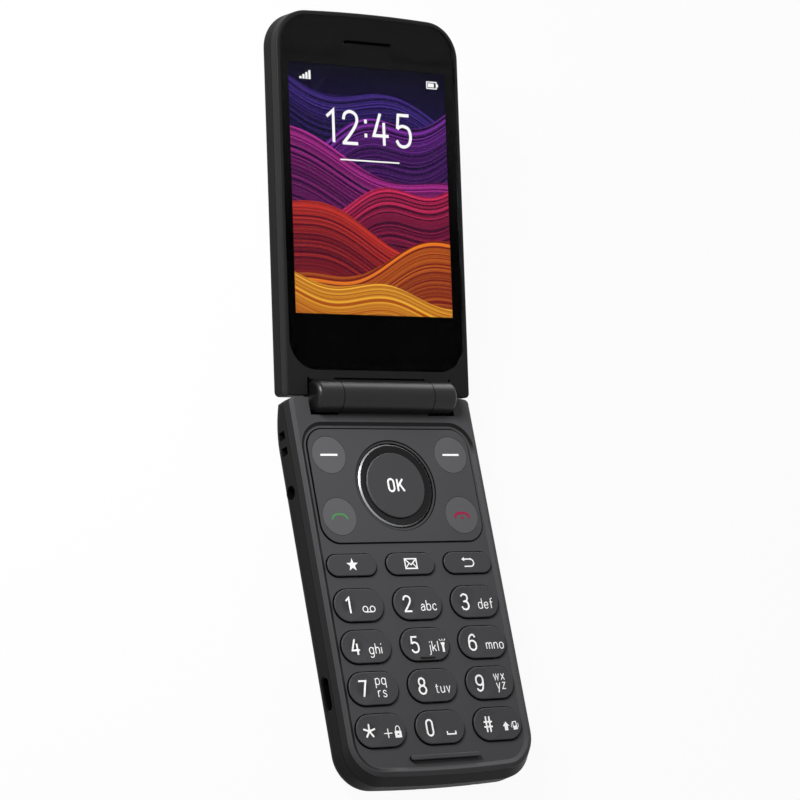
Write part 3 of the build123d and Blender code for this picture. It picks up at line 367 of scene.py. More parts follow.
def metal(name, tone, roughness):
    """Plain metal of a screen colour, with fine uneven sheen."""
    finish = Finish(name)
    fine = finish.noise(900.0, 3.0, 0.6)
    finish.set(Base_Color=finish.uneven(fine, screen_colour(*tone), 0.9, 1.05),
               Roughness=fine.spread(roughness - 0.06, roughness + 0.08), Metallic=1.0)
    return finish.material


def dressed(material, *names):
    """Gives CAD nodes a material."""
    for name in names:
        NODES[name].material_slots[0].material = material


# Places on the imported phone


def middle_of(name):
    """The middle of a CAD node's box."""
    low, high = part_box(name)
    return (low + high) / 2


def in_lid(place):
    """A place in the lid's own frame."""
    return LID_FRAME.inverted() @ place


def lid_level(name, pick):
    """The lowest or highest level of a CAD node in the lid's own frame."""
    return pick(in_lid(vertex.co).z for vertex in NODES[name].data.vertices)


def lid_back(name):
    """A frame on the outward face of a CAD node on the lid's back."""
    place = (0, in_lid(middle_of(name)).y, lid_level(name, min))
    return LID_FRAME @ Matrix.Translation(place) @ Matrix.Rotation(math.pi, 4, "Y")


# Flat drawings, in millimetres


def stroke(points, width, closed=False):
    """A ribbon of one width along a line of points."""
    line = [Vector(point) for point in points]
    count = len(line)
    outline = []
    for index, point in enumerate(line):
        before = line[index - 1] if closed or index > 0 else None
        after = line[(index + 1) % count] if closed or index < count - 1 else None
        ways = [(end - start).normalized() for start, end in ((before, point), (point, after))
                if start is not None and end is not None]
        along = sum(ways, Vector((0, 0)))
        if along.length < 1e-6:
            along = ways[0]
        along.normalize()
        side = Vector((-along.y, along.x))
        reach = width / 2 / max(0.45, abs(side.dot(Vector((-ways[0].y, ways[0].x)))))
        outline += [point + side * reach, point - side * reach]
    faces = []
    for index in range(count if closed else count - 1):
        here, there = 2 * index, 2 * ((index + 1) % count)
        faces.append((here, here + 1, there + 1, there))
    return outline, faces


def filled(points):
    """A filled outline."""
    return [Vector(point) for point in points], [tuple(range(len(points)))]


def rectangle(left, foot, right, top):
    """Corners of an upright rectangle."""
    return [(left, foot), (right, foot), (right, top), (left, top)]


def arc(centre, wide, tall, start, end, steps):
    """Points of an oval's arc, in degrees."""
    points = []
    for index in range(steps + 1):
        angle = math.radians(start + (end - start) * index / steps)
        points.append((centre[0] + wide * math.cos(angle), centre[1] + tall * math.sin(angle)))
    return points


def loop(centre, wide, tall):
    """Points of a closed oval with straight flanks, given by half its width and half its height."""
    lift = max(tall - wide, 0.0)
    upper = arc((centre[0], centre[1] + lift), wide, tall - lift, 0, 180, LOOP_STEPS)
    lower = arc((centre[0], centre[1] - lift), wide, tall - lift, 180, 360, LOOP_STEPS)
    return upper + (lower if lift else lower[1:-1])


def bend(points):
    """Points of a smooth line through a few points."""
    spots = [Vector(point) for point in points]
    spots = [2 * spots[0] - spots[1]] + spots + [2 * spots[-1] - spots[-2]]
    line = []
    for before, start, end, after in zip(spots, spots[1:], spots[2:], spots[3:]):
        for step in range(BEND_STEPS):
            share = step / BEND_STEPS
            line.append((2 * start + (end - before) * share
                         + (2 * before - 5 * start + 4 * end - after) * share**2
                         + (3 * start - before - 3 * end + after) * share**3) / 2)
    return line + [spots[-2]]


def moved(drawing, x, y, turn=0.0):
    """A drawing turned about its own zero, in degrees, and moved."""
    points, faces = drawing
    cosine, sine = math.cos(math.radians(turn)), math.sin(math.radians(turn))
    return [Vector((x + point[0] * cosine - point[1] * sine, y + point[0] * sine + point[1] * cosine))
            for point in points], faces


def placed(drawings, x, y, turn=0.0):
    """Several drawings moved alike."""
    return [moved(drawing, x, y, turn) for drawing in drawings]


BOWL = ("loop", (22, 31), 22, 31)
STEM = ("line", (0, 100), (0, 0))
SHORT_STEM = ("line", (0, 62), (0, 0))
ARCH = (("bend", (0, 42), (8, 56), (22, 62), (35, 56), (41, 42)), ("line", (41, 45), (41, 0)))

SIGNS = {
    # width, then the lines of a sign on a grid of 100 from the foot to the top of a tall sign
    "0": (44, [("loop", (22, 50), 22, 50)]),
    "1": (30, [("line", (0, 80), (24, 100), (24, 0))]),
    "2": (53, [("bend", (1, 74), (7, 92), (26, 100), (46, 91), (51, 73), (43, 53), (23, 26), (0, 0)),
               ("line", (-4, 0), (53, 0))]),
    "3": (53, [("bend", (3, 86), (12, 97), (26, 100), (44, 94), (50, 77), (43, 60), (26, 53)),
               ("bend", (26, 53), (46, 47), (53, 27), (45, 7), (26, 0), (9, 5), (0, 20)),
               ("line", (16, 53), (28, 53))]),
    "4": (55, [("line", (25, 100), (0, 30), (55, 30)), ("line", (38, 72), (38, 0))]),
    "5": (53, [("line", (48, 100), (8, 100), (4, 56)),
               ("bend", (4, 56), (14, 63), (27, 65), (46, 57), (53, 33), (46, 9), (27, 0), (10, 5), (0, 19))]),
    "6": (52, [("loop", (26, 31), 26, 31), ("bend", (0, 31), (2, 62), (12, 89), (30, 100), (45, 94), (50, 82))]),
    "7": (53, [("line", (0, 100), (53, 100), (26, 0))]),
    "8": (52, [("loop", (26, 76), 21, 24), ("loop", (26, 26), 26, 26)]),
    "9": (52, [("loop", (26, 69), 26, 31), ("bend", (52, 69), (50, 38), (40, 11), (22, 0), (7, 6), (2, 18))]),
    ":": (0, [("line", (0, 22), (0, 34)), ("line", (0, 66), (0, 78))]),
    "O": (52, [("loop", (26, 50), 26, 50)]),
    "K": (58, [STEM, ("line", (52, 100), (2, 38)), ("line", (20, 60), (58, 0))]),
    "a": (41, [("bend", (4, 50), (19, 62), (35, 57), (41, 42)), ("line", (41, 45), (41, 0)),
               ("bend", (41, 36), (20, 36), (2, 27), (2, 10), (16, 0), (32, 4), (41, 16))]),
    "b": (44, [STEM, BOWL]),
    "c": (41, [("bend", (41, 46), (35, 58), (22, 62), (6, 54), (0, 38), (0, 24), (6, 8), (22, 0), (35, 4),
                (41, 16))]),
    "d": (44, [BOWL, ("line", (44, 100), (44, 0))]),
    "e": (43, [("line", (0, 32), (43, 32)),
               ("bend", (43, 32), (42, 46), (35, 58), (22, 62), (7, 55), (0, 38), (0, 24), (7, 7), (22, 0), (35, 4),
                (41, 14))]),
    "f": (32, [("bend", (34, 99), (24, 99), (14, 92), (12, 78)), ("line", (12, 80), (12, 0)),
               ("line", (0, 62), (32, 62))]),
    "g": (44, [BOWL, ("line", (44, 62), (44, -16)), ("bend", (44, -14), (40, -27), (27, -34), (13, -33), (4, -27))]),
    "h": (41, [STEM, *ARCH]),
    "i": (0, [SHORT_STEM, ("line", (0, 86), (0, 99))]),
    "j": (8, [("line", (8, 62), (8, -18)), ("bend", (8, -16), (4, -29), (-8, -34)), ("line", (8, 86), (8, 99))]),
    "k": (40, [STEM, ("line", (38, 62), (2, 24)), ("line", (15, 38), (40, 0))]),
    "l": (0, [STEM]),
    "m": (64, [SHORT_STEM, ("bend", (0, 44), (7, 57), (18, 62), (28, 56), (32, 43)),
               ("line", (32, 46), (32, 0)), ("bend", (32, 44), (39, 57), (50, 62), (60, 56), (64, 43)),
               ("line", (64, 46), (64, 0))]),
    "n": (41, [SHORT_STEM, *ARCH]),
    "o": (44, [BOWL]),
    "p": (44, [("line", (0, 62), (0, -34)), BOWL]),
    "q": (44, [BOWL, ("line", (44, 62), (44, -34))]),
    "r": (28, [SHORT_STEM, ("bend", (0, 40), (6, 54), (16, 61), (28, 61))]),
    "s": (38, [("bend", (37, 51), (29, 60), (19, 62), (7, 58), (3, 47), (10, 37), (20, 32), (32, 26), (38, 15),
                (32, 4), (19, 0), (8, 3), (0, 12))]),
    "t": (32, [("line", (12, 84), (12, 14)), ("bend", (12, 16), (15, 4), (24, 0), (32, 1)),
               ("line", (0, 62), (30, 62))]),
    "u": (41, [("line", (0, 62), (0, 20)), ("bend", (0, 22), (5, 6), (18, 0), (33, 6), (41, 20)),
               ("line", (41, 62), (41, 0))]),
    "v": (40, [("line", (0, 62), (20, 0), (40, 62))]),
    "w": (60, [("line", (0, 62), (15, 0), (30, 60), (45, 0), (60, 62))]),
    "x": (38, [("line", (0, 62), (38, 0)), ("line", (38, 62), (0, 0))]),
    "y": (40, [("line", (0, 62), (20, 2)), ("line", (40, 62), (14, -34))]),
    "z": (38, [("line", (1, 62), (36, 62), (0, 0), (38, 0))]),
}


def lettering(words, height, weight, gap=26.0):
    """Words in lines of one weight, centred, standing on zero. Height is that of a tall sign."""
    unit = (height - weight) / 100
    drawings, x = [], 0.0
    for sign in words:
        width, lines = SIGNS[sign]
        for kind, *points in lines:
            if kind == "loop":
                points = loop(*points)
            elif kind == "bend":
                points = bend(points)
            line = [((x + across) * unit, up * unit + weight / 2) for across, up in points]
            drawings.append(stroke(line, weight, closed=kind == "loop"))
        x += width + gap
    return placed(drawings, -(x - gap) * unit / 2, 0)


def shown(piece):
    """Puts a piece into the scene."""
    bpy.context.scene.collection.objects.link(piece)
    return piece


def piece_from(bm, name, matrix, material):
    """A piece of one material from a finished bmesh, with its place in its mesh."""
    bmesh.ops.recalc_face_normals(bm, faces=bm.faces)
    mesh = bpy.data.meshes.new(name)
    bm.to_mesh(mesh)
    bm.free()
    mesh.transform(matrix)
    mesh.materials.append(material)
    return shown(bpy.data.objects.new(name, mesh))


def solid_from(drawings, name, matrix, surface, rise, depth, material):
    """One piece from flat drawings: each stands a rise above a surface and reaches a depth into it.

    Each drawing lies one layer above the last, so that crossing lines share no face.
    """
    bm = bmesh.new()
    for layer, (points, faces) in enumerate(drawings):
        top, bottom = [], []
        for point in points:
            level, over = surface(point.x, point.y), layer * LAYER
            top.append(bm.verts.new((point.x * MM, point.y * MM, level + rise + over)))
            bottom.append(bm.verts.new((point.x * MM, point.y * MM, level - depth - over)))
        edges = {}
        for face in faces:
            bm.faces.new([top[index] for index in face])
            bm.faces.new([bottom[index] for index in reversed(face)])
            for here, there in zip(face, face[1:] + face[:1]):
                edges.setdefault(frozenset((here, there)), []).append((here, there))
        for uses in edges.values():
            if len(uses) == 1:
                here, there = uses[0]
                bm.faces.new([top[there], top[here], bottom[here], bottom[there]])
    return piece_from(bm, name, matrix, material)


# Icons, each about its own middle, in millimetres


def voicemail_icon():
    spools = [stroke(loop((side * 1.05, 0), 0.72, 0.72), 0.24, closed=True) for side in (-1, 1)]
    return spools + [stroke([(-1.05, -0.72), (1.05, -0.72)], 0.24)]


def torch_icon():
    body = [(-0.56, 0.65), (0.56, 0.65), (0.56, 0.3), (0.3, -0.2), (0.3, -1.8), (-0.3, -1.8), (-0.3, -0.2),
            (-0.56, 0.3)]
    return [filled(body)] + [stroke([(x, 1.0), (x * 1.8, 1.5)], 0.18) for x in (-0.5, 0.0, 0.5)]


def lock_icon():
    return [stroke(rectangle(-0.62, -1.05, 0.62, -0.05), 0.66, closed=True),
            stroke([(-0.62, 0.2)] + arc((0, 0.7), 0.62, 0.8, 180, 0, 12) + [(0.62, 0.2)], 0.2)]


def plus_icon():
    return [stroke([(-1.15, 0), (1.15, 0)], 0.24), stroke([(0, -1.15), (0, 1.15)], 0.24)]


def space_icon():
    return [stroke([(-1.25, 0.75), (-1.25, 0), (1.25, 0), (1.25, 0.75)], 0.34)]


def shift_icon():
    return [filled([(0, 1.15), (1.0, 0.05), (0.48, 0.05), (0.48, -1.05), (-0.48, -1.05), (-0.48, 0.05),
                    (-1.0, 0.05)])]


def ringer_icon():
    case, keys = rectangle(-0.5, -0.95, 0.5, 0.95), rectangle(-0.45, -0.9, 0.45, -0.1)
    waves = [stroke([(side * 0.95, -0.55), (side * 1.06, 0), (side * 0.95, 0.55)], 0.14) for side in (-1, 1)]
    return placed([stroke(case, 0.24, closed=True), filled(keys)], 0, 0, 8) + waves


def asterisk_icon():
    return [stroke([(0, 0), (1.8 * math.cos(angle), 1.8 * math.sin(angle))], 0.46)
            for angle in (math.radians(90 + 72 * arm) for arm in range(5))]


def hash_icon():
    bars = [stroke([(x, -2.0), (x, 2.0)], 0.42) for x in (-0.52, 0.52)]
    return bars + [stroke([(-1.28, y), (1.28, y)], 0.42) for y in (-0.62, 0.62)]


def star_icon():
    points = []
    for tip in range(10):
        radius = 1.75 if tip % 2 == 0 else 0.7
        angle = math.radians(90 + 36 * tip)
        points.append((radius * math.cos(angle), radius * math.sin(angle)))
    fan = [Vector((0, 0))] + [Vector(point) for point in points]
    return [(fan, [(0, 1 + tip, 1 + (tip + 1) % 10) for tip in range(10)])]


def envelope_icon():
    case = stroke(rectangle(-1.72, -1.25, 1.72, 1.25), 0.34, closed=True)
    return [case, stroke([(-1.7, 1.2), (0, -0.3), (1.7, 1.2)], 0.3),
            *(stroke([(side * 1.7, -1.2), (side * 0.55, 0.1)], 0.25) for side in (-1, 1))]


def back_icon():
    hook = [(-1.3, 0.85), (0.8, 0.85)] + arc((0.8, -0.1), 0.95, 0.95, 90, -90, 12) + [(-1.2, -1.05)]
    return [stroke(hook, 0.32), filled([(-1.85, 0.85), (-1.0, 1.4), (-1.0, 0.3)])]


def dash_icon():
    return [stroke([(-2.5, 0), (2.5, 0)], 0.5)]


def handset_icon(width):
    return [stroke(bend([(-2.3, -0.75), (-1.75, 0.1), (-0.9, 0.5), (0.9, 0.5), (1.75, 0.1), (2.3, -0.75)]), width)]


def end_icon():
    return handset_icon(0.7) + [filled([(-0.6, -0.5), (0.6, -0.5), (0.0, -1.3)])]


def signal_icon():
    return [filled(rectangle(0.9 * bar, 0, 0.9 * bar + 0.6, 0.6 + 0.55 * bar)) for bar in range(4)]


def charge_icon():
    return [stroke(rectangle(-1.6, -0.85, 1.4, 0.85), 0.25, closed=True), filled(rectangle(1.55, -0.4, 1.9, 0.4)),
            filled(rectangle(-1.25, -0.5, 0.6, 0.5))]


def small_words(words, x, y=LETTER_FOOT):
    """Small letters beside a figure."""
    return placed(lettering(words, sizes().letter_height / MM, sizes().letter_weight / MM), x, y)


def figure(digit):
    """The big figure of a key."""
    height = sizes().digit_height / MM
    return placed(lettering(digit, height, sizes().digit_weight / MM), FIGURE_X, -height / 2)


def legends():
    """The drawings on every key, about the key's middle."""
    ok_height = sizes().ok_height / MM
    return {
        "key_1": figure("1") + placed(voicemail_icon(), 2.6, -1.1),
        "key_2": figure("2") + small_words("abc", 3.0),
        "key_3": figure("3") + small_words("def", 3.0),
        "key_4": figure("4") + small_words("ghi", 2.4),
        "key_5": figure("5") + small_words("jkl", 2.35) + placed(torch_icon(), 5.15, -0.35),
        "key_6": figure("6") + small_words("mno", 3.5),
        "key_7": figure("7") + small_words("pq", 2.2, 0.75) + small_words("rs", 2.2, -2.35),
        "key_8": figure("8") + small_words("tuv", 2.8),
        "key_9": figure("9") + small_words("wx", 2.9, 0.45) + small_words("yz", 3.1, -1.85),
        "key_star": (placed(asterisk_icon(), -3.4, 0) + placed(plus_icon(), 1.8, -0.8)
                     + placed(lock_icon(), 4.7, -0.6)),
        "key_0": figure("0") + placed(space_icon(), 3.0, -1.9),
        "key_hash": (placed(hash_icon(), -2.9, 0) + placed(shift_icon(), 2.3, -0.8)
                     + placed(ringer_icon(), 5.0, -0.7)),
        "favourite_key": star_icon(),
        "message_key": envelope_icon(),
        "back_key": back_icon(),
        "left_soft_key": dash_icon(),
        "right_soft_key": dash_icon(),
        "call_key": handset_icon(0.42),
        "end_key": end_icon(),
        "ok_key": placed(lettering("OK", ok_height, sizes().ok_weight / MM, 34.0), 0, -ok_height / 2),
    }


# Repeated pieces made with Geometry Nodes


def repeat_tree(name, round_piece):
    """Node tree that repeats a round bar or a block on a flat grid."""
    tree = bpy.data.node_groups.new(name, "GeometryNodeTree")
    tree.interface.new_socket("Geometry", in_out="OUTPUT", socket_type="NodeSocketGeometry")
    for label, kind in (("Columns", "Int"), ("Rows", "Int"), ("Column pitch", "Float"), ("Row pitch", "Float"),
                        ("Piece size", "Vector"), ("Turn", "Vector"), ("Material", "Material")):
        tree.interface.new_socket(label, in_out="INPUT", socket_type=f"NodeSocket{kind}")
    nodes = Nodes(tree)
    given = {socket.name: Value(nodes, socket) for socket in nodes.add("NodeGroupInput").outputs}
    grid = nodes.value("GeometryNodeMeshGrid", {
        "Size X": (given["Columns"] - 1.0) * given["Column pitch"], "Vertices X": given["Columns"],
        "Size Y": (given["Rows"] - 1.0) * given["Row pitch"], "Vertices Y": given["Rows"],
    })
    if round_piece:
        radius, _, length = nodes.parts(given["Piece size"])
        links = {"Vertices": WIRE_SIDES, "Radius": radius, "Depth": length}
        piece = nodes.value("GeometryNodeMeshCylinder", links)
    else:
        piece = nodes.value("GeometryNodeMeshCube", {"Size": given["Piece size"]})
    links = {"Points": grid, "Instance": piece, "Rotation": given["Turn"]}
    pieces = nodes.value("GeometryNodeInstanceOnPoints", links)
    real = nodes.value("GeometryNodeRealizeInstances", {0: pieces})
    painted = nodes.value("GeometryNodeSetMaterial", {"Geometry": real, "Material": given["Material"]})
    nodes.add("NodeGroupOutput", {0: painted})
    return tree


def repeated(name, tree, matrix, bevel=0.0, **values):
    """A plain mesh piece from a repeat tree, with its place in its mesh."""
    holder = shown(bpy.data.objects.new(name, bpy.data.meshes.new(name)))
    modifier = holder.modifiers.new("Repeat", "NODES")
    modifier.node_group = tree
    for socket in tree.interface.items_tree:
        label = socket.name.lower().replace(" ", "_")
        if socket.in_out == "INPUT" and label in values:
            modifier[socket.identifier] = values[label]
    if bevel:
        rounding = holder.modifiers.new("Rounding", "BEVEL")
        rounding.width, rounding.segments = bevel, 2
    graph = bpy.context.evaluated_depsgraph_get()
    mesh = bpy.data.meshes.new_from_object(holder.evaluated_get(graph))
    holder.modifiers.clear()
    holder.data = mesh
    mesh.name = name
    mesh.transform(matrix)
    return holder


def turned(name, profile, matrix, material):
    """A piece turned about its own Z from a profile of radius and height, in millimetres."""
    bm = bmesh.new()
    angles = [2 * math.pi * step / TURN_STEPS for step in range(TURN_STEPS)]
    rings = []
    for radius, height in profile:
        spots = [(radius * MM * math.cos(angle), radius * MM * math.sin(angle), height * MM) for angle in angles]
        rings.append([bm.verts.new(spot) for spot in (spots if radius else spots[:1])])
    for low, high in zip(rings, rings[1:]):
        for step in range(TURN_STEPS):
            after = (step + 1) % TURN_STEPS
            corners = [low[step % len(low)], low[after % len(low)], high[after % len(high)], high[step % len(high)]]
            bm.faces.new(list(dict.fromkeys(corners))).smooth = True
    piece = piece_from(bm, name, matrix, material)
    piece.data.set_sharp_from_angle(angle=SHARP_ANGLE)
    return piece


# Operators, each with the finishes that only it uses


class PHONE_OT_shells(bpy.types.Operator):
    """Finishes the housings, the chassis, the battery cover and the bumper"""

    bl_idname = "phone.shells"
    bl_label = "Shells"

    def execute(self, context):
        tones = colours()
        # Painted shade: the base front's side walls below the key field take the band tone, and the slope into the
        # key field gets near black along the left and at the hinge
        dressed(moulded("front_satin", tones.front, 0.46, foot=tones.band, over=(painted_field_shade, four(tones.gap)),
                        levels=[(FIELD_Z - 0.06 * MM, FIELD_Z - 0.02 * MM, None)]), "base_front_housing")
        # Painted shade: the bumper's sides are near black below its top
        dressed(moulded("bumper_satin", tones.front, 0.5, mottle=0.12, foot=tones.gap,
                        levels=[(FRONT_Z + 0.2 * MM, FRONT_Z + 0.3 * MM, None)]), "foot_bumper")
        # Painted shade: the chassis and the battery cover darken to near black towards the floor
        dressed(moulded("base_matt", tones.shell, 0.5, 0.05, foot=tones.gap, levels=[(1.0 * MM, 5.0 * MM, None)]),
                "base_chassis", "battery_cover")
        dressed(moulded("shell_matt", tones.shell, 0.5, 0.05), "lid_rear_housing", "volume_key")
        dressed(moulded("lid_front_satin", tones.lid_front, 0.46, 0.08), "lid_front_housing")
        return {"FINISHED"}


FIELD_CORNERS = (
    # middle of a corner of the key field, its radius and the end it lies at, in millimetres
    (19.1, 35.65, 6.0, 1.0),
    (18.3, 38.85, 6.8, -1.0),
)


def painted_field_shade(finish):
    """Share of painted shade on the slope into the key field, along the left and at the hinge, and on the rim's left
    flank.
    """
    x, y, z = finish.spot()
    reaches = []
    for corner_x, corner_y, radius, end in FIELD_CORNERS:
        beside = (abs(x) - corner_x * MM).most(0.0)
        beyond = (y * end - corner_y * MM).most(0.0)
        reaches.append(beside.reach(beyond) - radius * MM)
    away = reaches[0].most(reaches[1])
    left, upper = x.fall(-20 * MM, -14 * MM), y.rise(34 * MM, 37 * MM)
    slope = away.band(0.05 * MM, 0.2 * MM, 0.9 * MM, 1.05 * MM) * left.most(upper)
    flank = away.spread(0.0, FLANK_SHADE, 1.1 * MM, 1.5 * MM) * z.rise(FIELD_Z, FIELD_Z + 0.1 * MM)
    return slope.most(flank * left)


class PHONE_OT_hinge(bpy.types.Operator):
    """Finishes the hinge tubes and the pieces inside them"""

    bl_idname = "phone.hinge"
    bl_label = "Hinge"

    def execute(self, context):
        tubes = moulded("hinge_paint", colours().hinge, 0.32, 0.3, grain_share=0.6, grain=0.2, mottle=0.03)
        dressed(tubes, "hinge_barrel", "hinge_knuckles")
        dressed(metal("hinge_steel", (150, 150, 152), 0.35), "hinge_cartridge", "hinge_cam", "hinge_bush")
        dressed(moulded("flex_film", screen_colour(176, 110, 36), 0.35, 0.4), "flex_cable")
        return {"FINISHED"}


class PHONE_OT_keys(bpy.types.Operator):
    """Finishes the keys, the plate round the navigation keys and the four-way ring"""

    bl_idname = "phone.keys"
    bl_label = "Keys"

    def execute(self, context):
        tones = colours()
        # Painted shade: below these heights the sides of the keys are near black, and so are the sides of the bar on
        # the middle number key
        gap = four(tones.gap)
        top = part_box("key_1")[1].z
        raised = (top - 0.3 * MM, top - 0.12 * MM, None)
        bar = [(top + 0.01 * MM, top + 0.03 * MM, tones.gap), (top + 0.14 * MM, top + 0.17 * MM, None)]
        dressed(moulded("key_satin", tones.key, 0.44, foot=tones.gap, levels=[raised]), *NUMBER_KEYS, *FUNCTION_KEYS)
        dressed(moulded("middle_number_satin", tones.key, 0.44, foot=tones.gap, levels=[raised, *bar],
                        over=(bar_foot_painted_shadow, gap)), "key_5")
        # Painted shade: the plate's outer edge, its hole and the step round the ring are near black
        dressed(moulded("plate_satin", tones.front, 0.46, over=(plate_gap_painted_shade, gap)), "nav_plate")
        dressed(moulded("disc_satin", tones.disc, 0.46), *ROUND_KEYS)
        dressed(moulded("middle_key_satin", four(tones.key, 0.9), 0.45, grain=0.3, mottle=1 / 30,
                        over=(key_edge, four(tones.plating, 0.28))), "ok_key")
        dressed(ring_finish(), "nav_ring")
        return {"FINISHED"}


def radius_from_nav(finish):
    """Distance from the middle of the navigation keys, in millimetres."""
    x, y, _ = finish.spot()
    middle = middle_of("nav_ring")
    return (x - middle.x).reach(y - middle.y) * (1 / MM)


def key_edge(finish):
    """Share of the fine lighter edge of the middle key."""
    return radius_from_nav(finish).rise(*KEY_EDGE)


def bar_foot_painted_shadow(finish):
    """Share of the painted shadow along the foot of the raised bar on the middle number key."""
    x, y, _ = finish.spot()
    line = abs(y - (middle_of("key_5").y + BAR_FOOT)) - 0.16 * MM
    along = abs(x + 0.1 * MM) - 2.1 * MM
    return line.most(along).fall(-0.04 * MM, 0.04 * MM)


def plate_gap_painted_shade(finish):
    """Share of painted shade on the plate's outer edge below its top, in its hole and in the fine step round the
    ring.
    """
    low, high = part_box("nav_plate")
    middle, half = (low + high) / 2, (high - low) / 2
    x, y, z = finish.spot()
    reach = (abs(x) - half.x).most(abs(y - middle.y) - half.y)
    edge = reach.rise(-3.0 * MM, -2.5 * MM) * z.fall(high.z - 0.15 * MM, high.z - 0.05 * MM)
    radius = radius_from_nav(finish)
    return edge.most(radius.band(*PLATE_STEP)).most(radius.fall(*PLATE_HOLE))


def ring_finish():
    """Dark gloss ring with a bright plated outer edge."""
    finish = Finish("ring_gloss")
    tones = colours()
    bright = radius_from_nav(finish).band(*PLATED_EDGE)
    fine = finish.noise(5000.0)
    finish.set(
        Base_Color=finish.blend(bright, finish.uneven(fine, tones.ring, 0.9, 1.1), four(tones.plating)),
        Metallic=bright * 0.6,
        Roughness=bright * 0.16 + fine.spread(0.22, 0.3),
        Specular_IOR_Level=0.15,
    )
    return finish.material


class PHONE_OT_legends(bpy.types.Operator):
    """Prints the legends on the keys"""

    bl_idname = "phone.legends"
    bl_label = "Legends"

    def execute(self, context):
        tones = colours()
        prints = {"call_key": printed("legend_green", tones.call, 0.1),
                  "end_key": printed("legend_red", tones.end, 0.1)}
        white = printed("legend_white", tones.legend, 0.3)
        flat_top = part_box("key_1")[1].z
        for name, drawings in legends().items():
            low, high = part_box(name)
            top, surface = high.z, flat_level
            if name in NUMBER_KEYS:
                top, surface = flat_top, dish_level(low, high)
            middle = Vector(((low.x + high.x) / 2, (low.y + high.y) / 2, top))
            piece = solid_from(drawings, f"legend_{name}", Matrix.Translation(middle), surface,
                               sizes().legend_rise, sizes().legend_depth, prints.get(name, white))
            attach(piece, name)
        return {"FINISHED"}


def flat_level(x, y):
    """Height of a flat face."""
    return 0.0


def dish_level(low, high):
    """Height of a number key's top, which has a shallow dish round its figure."""
    radius, depth = sizes().dish_radius / MM, sizes().dish_depth / MM
    ball = (radius**2 + depth**2) / (2 * depth)
    flange = (high.y - low.y) / MM / 2
    middle = -((high.x - low.x) / MM / 2 - flange)

    def level(x, y):
        away = math.hypot(x - middle, y)
        if away >= radius:
            return 0.0
        return -(depth - ball + math.sqrt(ball**2 - away**2)) * MM

    return level


def printed(name, colour, glow):
    """Clear print with a faint unevenness, lit a little from behind."""
    finish = Finish(name)
    fine = finish.noise(2500.0)
    finish.set(Base_Color=finish.uneven(fine, colour, 0.94, 1.0), Roughness=fine.spread(0.45, 0.55),
               Specular_IOR_Level=0.2, Emission_Color=four(colour), Emission_Strength=glow)
    return finish.material


class PHONE_OT_display(bpy.types.Operator):
    """Lights the main display behind its window and draws the clocks on both displays"""

    bl_idname = "phone.display"
    bl_label = "Display"

    def execute(self, context):
        dressed(window_finish(), "display_lens", "outer_lens")
        dressed(mask_finish(), "lens_mask")
        dressed(picture_finish(), "display_panel")
        dressed(moulded("outer_panel_dark", colours().mask, 0.3, 0.3), "outer_display")
        marks = placed(lettering(TIME, sizes().clock_height / MM, CLOCK_WEIGHT, TIME_GAP), 0.0, CLOCK_FOOT)
        marks += [stroke(UNDERLINE, LINE_WEIGHT)]
        marks += placed(signal_icon(), *SIGNAL_PLACE) + placed(charge_icon(), *CHARGE_PLACE)
        face = LID_FRAME @ Matrix.Translation((0, 0, LID_FACE - sizes().picture_depth))
        piece = solid_from(marks, "display_clock", face, flat_level, 0.01 * MM, 0.02 * MM,
                           lit("clock_glow", WHITE, 0.95))
        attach(piece, "lid")
        size = sizes().outer_clock_height / MM
        digits = placed(lettering(TIME, size, OUTER_WEIGHT, TIME_GAP), 0, -size / 2)
        piece = solid_from(digits, "outer_clock", lid_back("outer_display"), flat_level, 0.03 * MM, 0.01 * MM,
                           lit("outer_glow", (0.8, 0.86, 0.95), 0.55))
        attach(piece, "lid")
        return {"FINISHED"}


def lit(name, colour, strength):
    """Lit marks on a display."""
    finish = Finish(name)
    finish.set(Base_Color=BLACK, Emission_Color=four(colour), Emission_Strength=strength, Specular_IOR_Level=0.0)
    return finish.material


def window_finish():
    """Clear acrylic with a coating that cuts its reflections."""
    finish = Finish("window_clear")
    smear = finish.noise(30.0, 3.0)
    finish.set(Base_Color=WHITE, Roughness=smear.spread(0.0, 0.02), IOR=1.05, Transmission_Weight=1.0)
    return finish.material


def mask_finish():
    """Black print behind the window, with a painted sheen that glows more towards the lid's top, standing in for the
    window's reflection.
    """
    finish = Finish("mask_print")
    painted_sheen = lid_place(finish)[1].spread(0.0, MASK_PAINTED_SHEEN, 40.0, 90.0)
    finish.set(Base_Color=finish.mottled(colours().mask, 0.1), Roughness=finish.noise(2000.0).spread(0.45, 0.55),
               Specular_IOR_Level=0.0, Emission_Color=WHITE, Emission_Strength=painted_sheen)
    return finish.material


def lid_place(finish):
    """Object coordinates along each axis of the lid's own frame, in millimetres from its hinge."""
    links = {"Vector": finish.place(), "Location": tuple(HINGE), "Rotation": (LID_TILT, 0, 0), "Scale": (MM, MM, MM)}
    return finish.parts(finish.value("ShaderNodeMapping", links, vector_type="TEXTURE"))


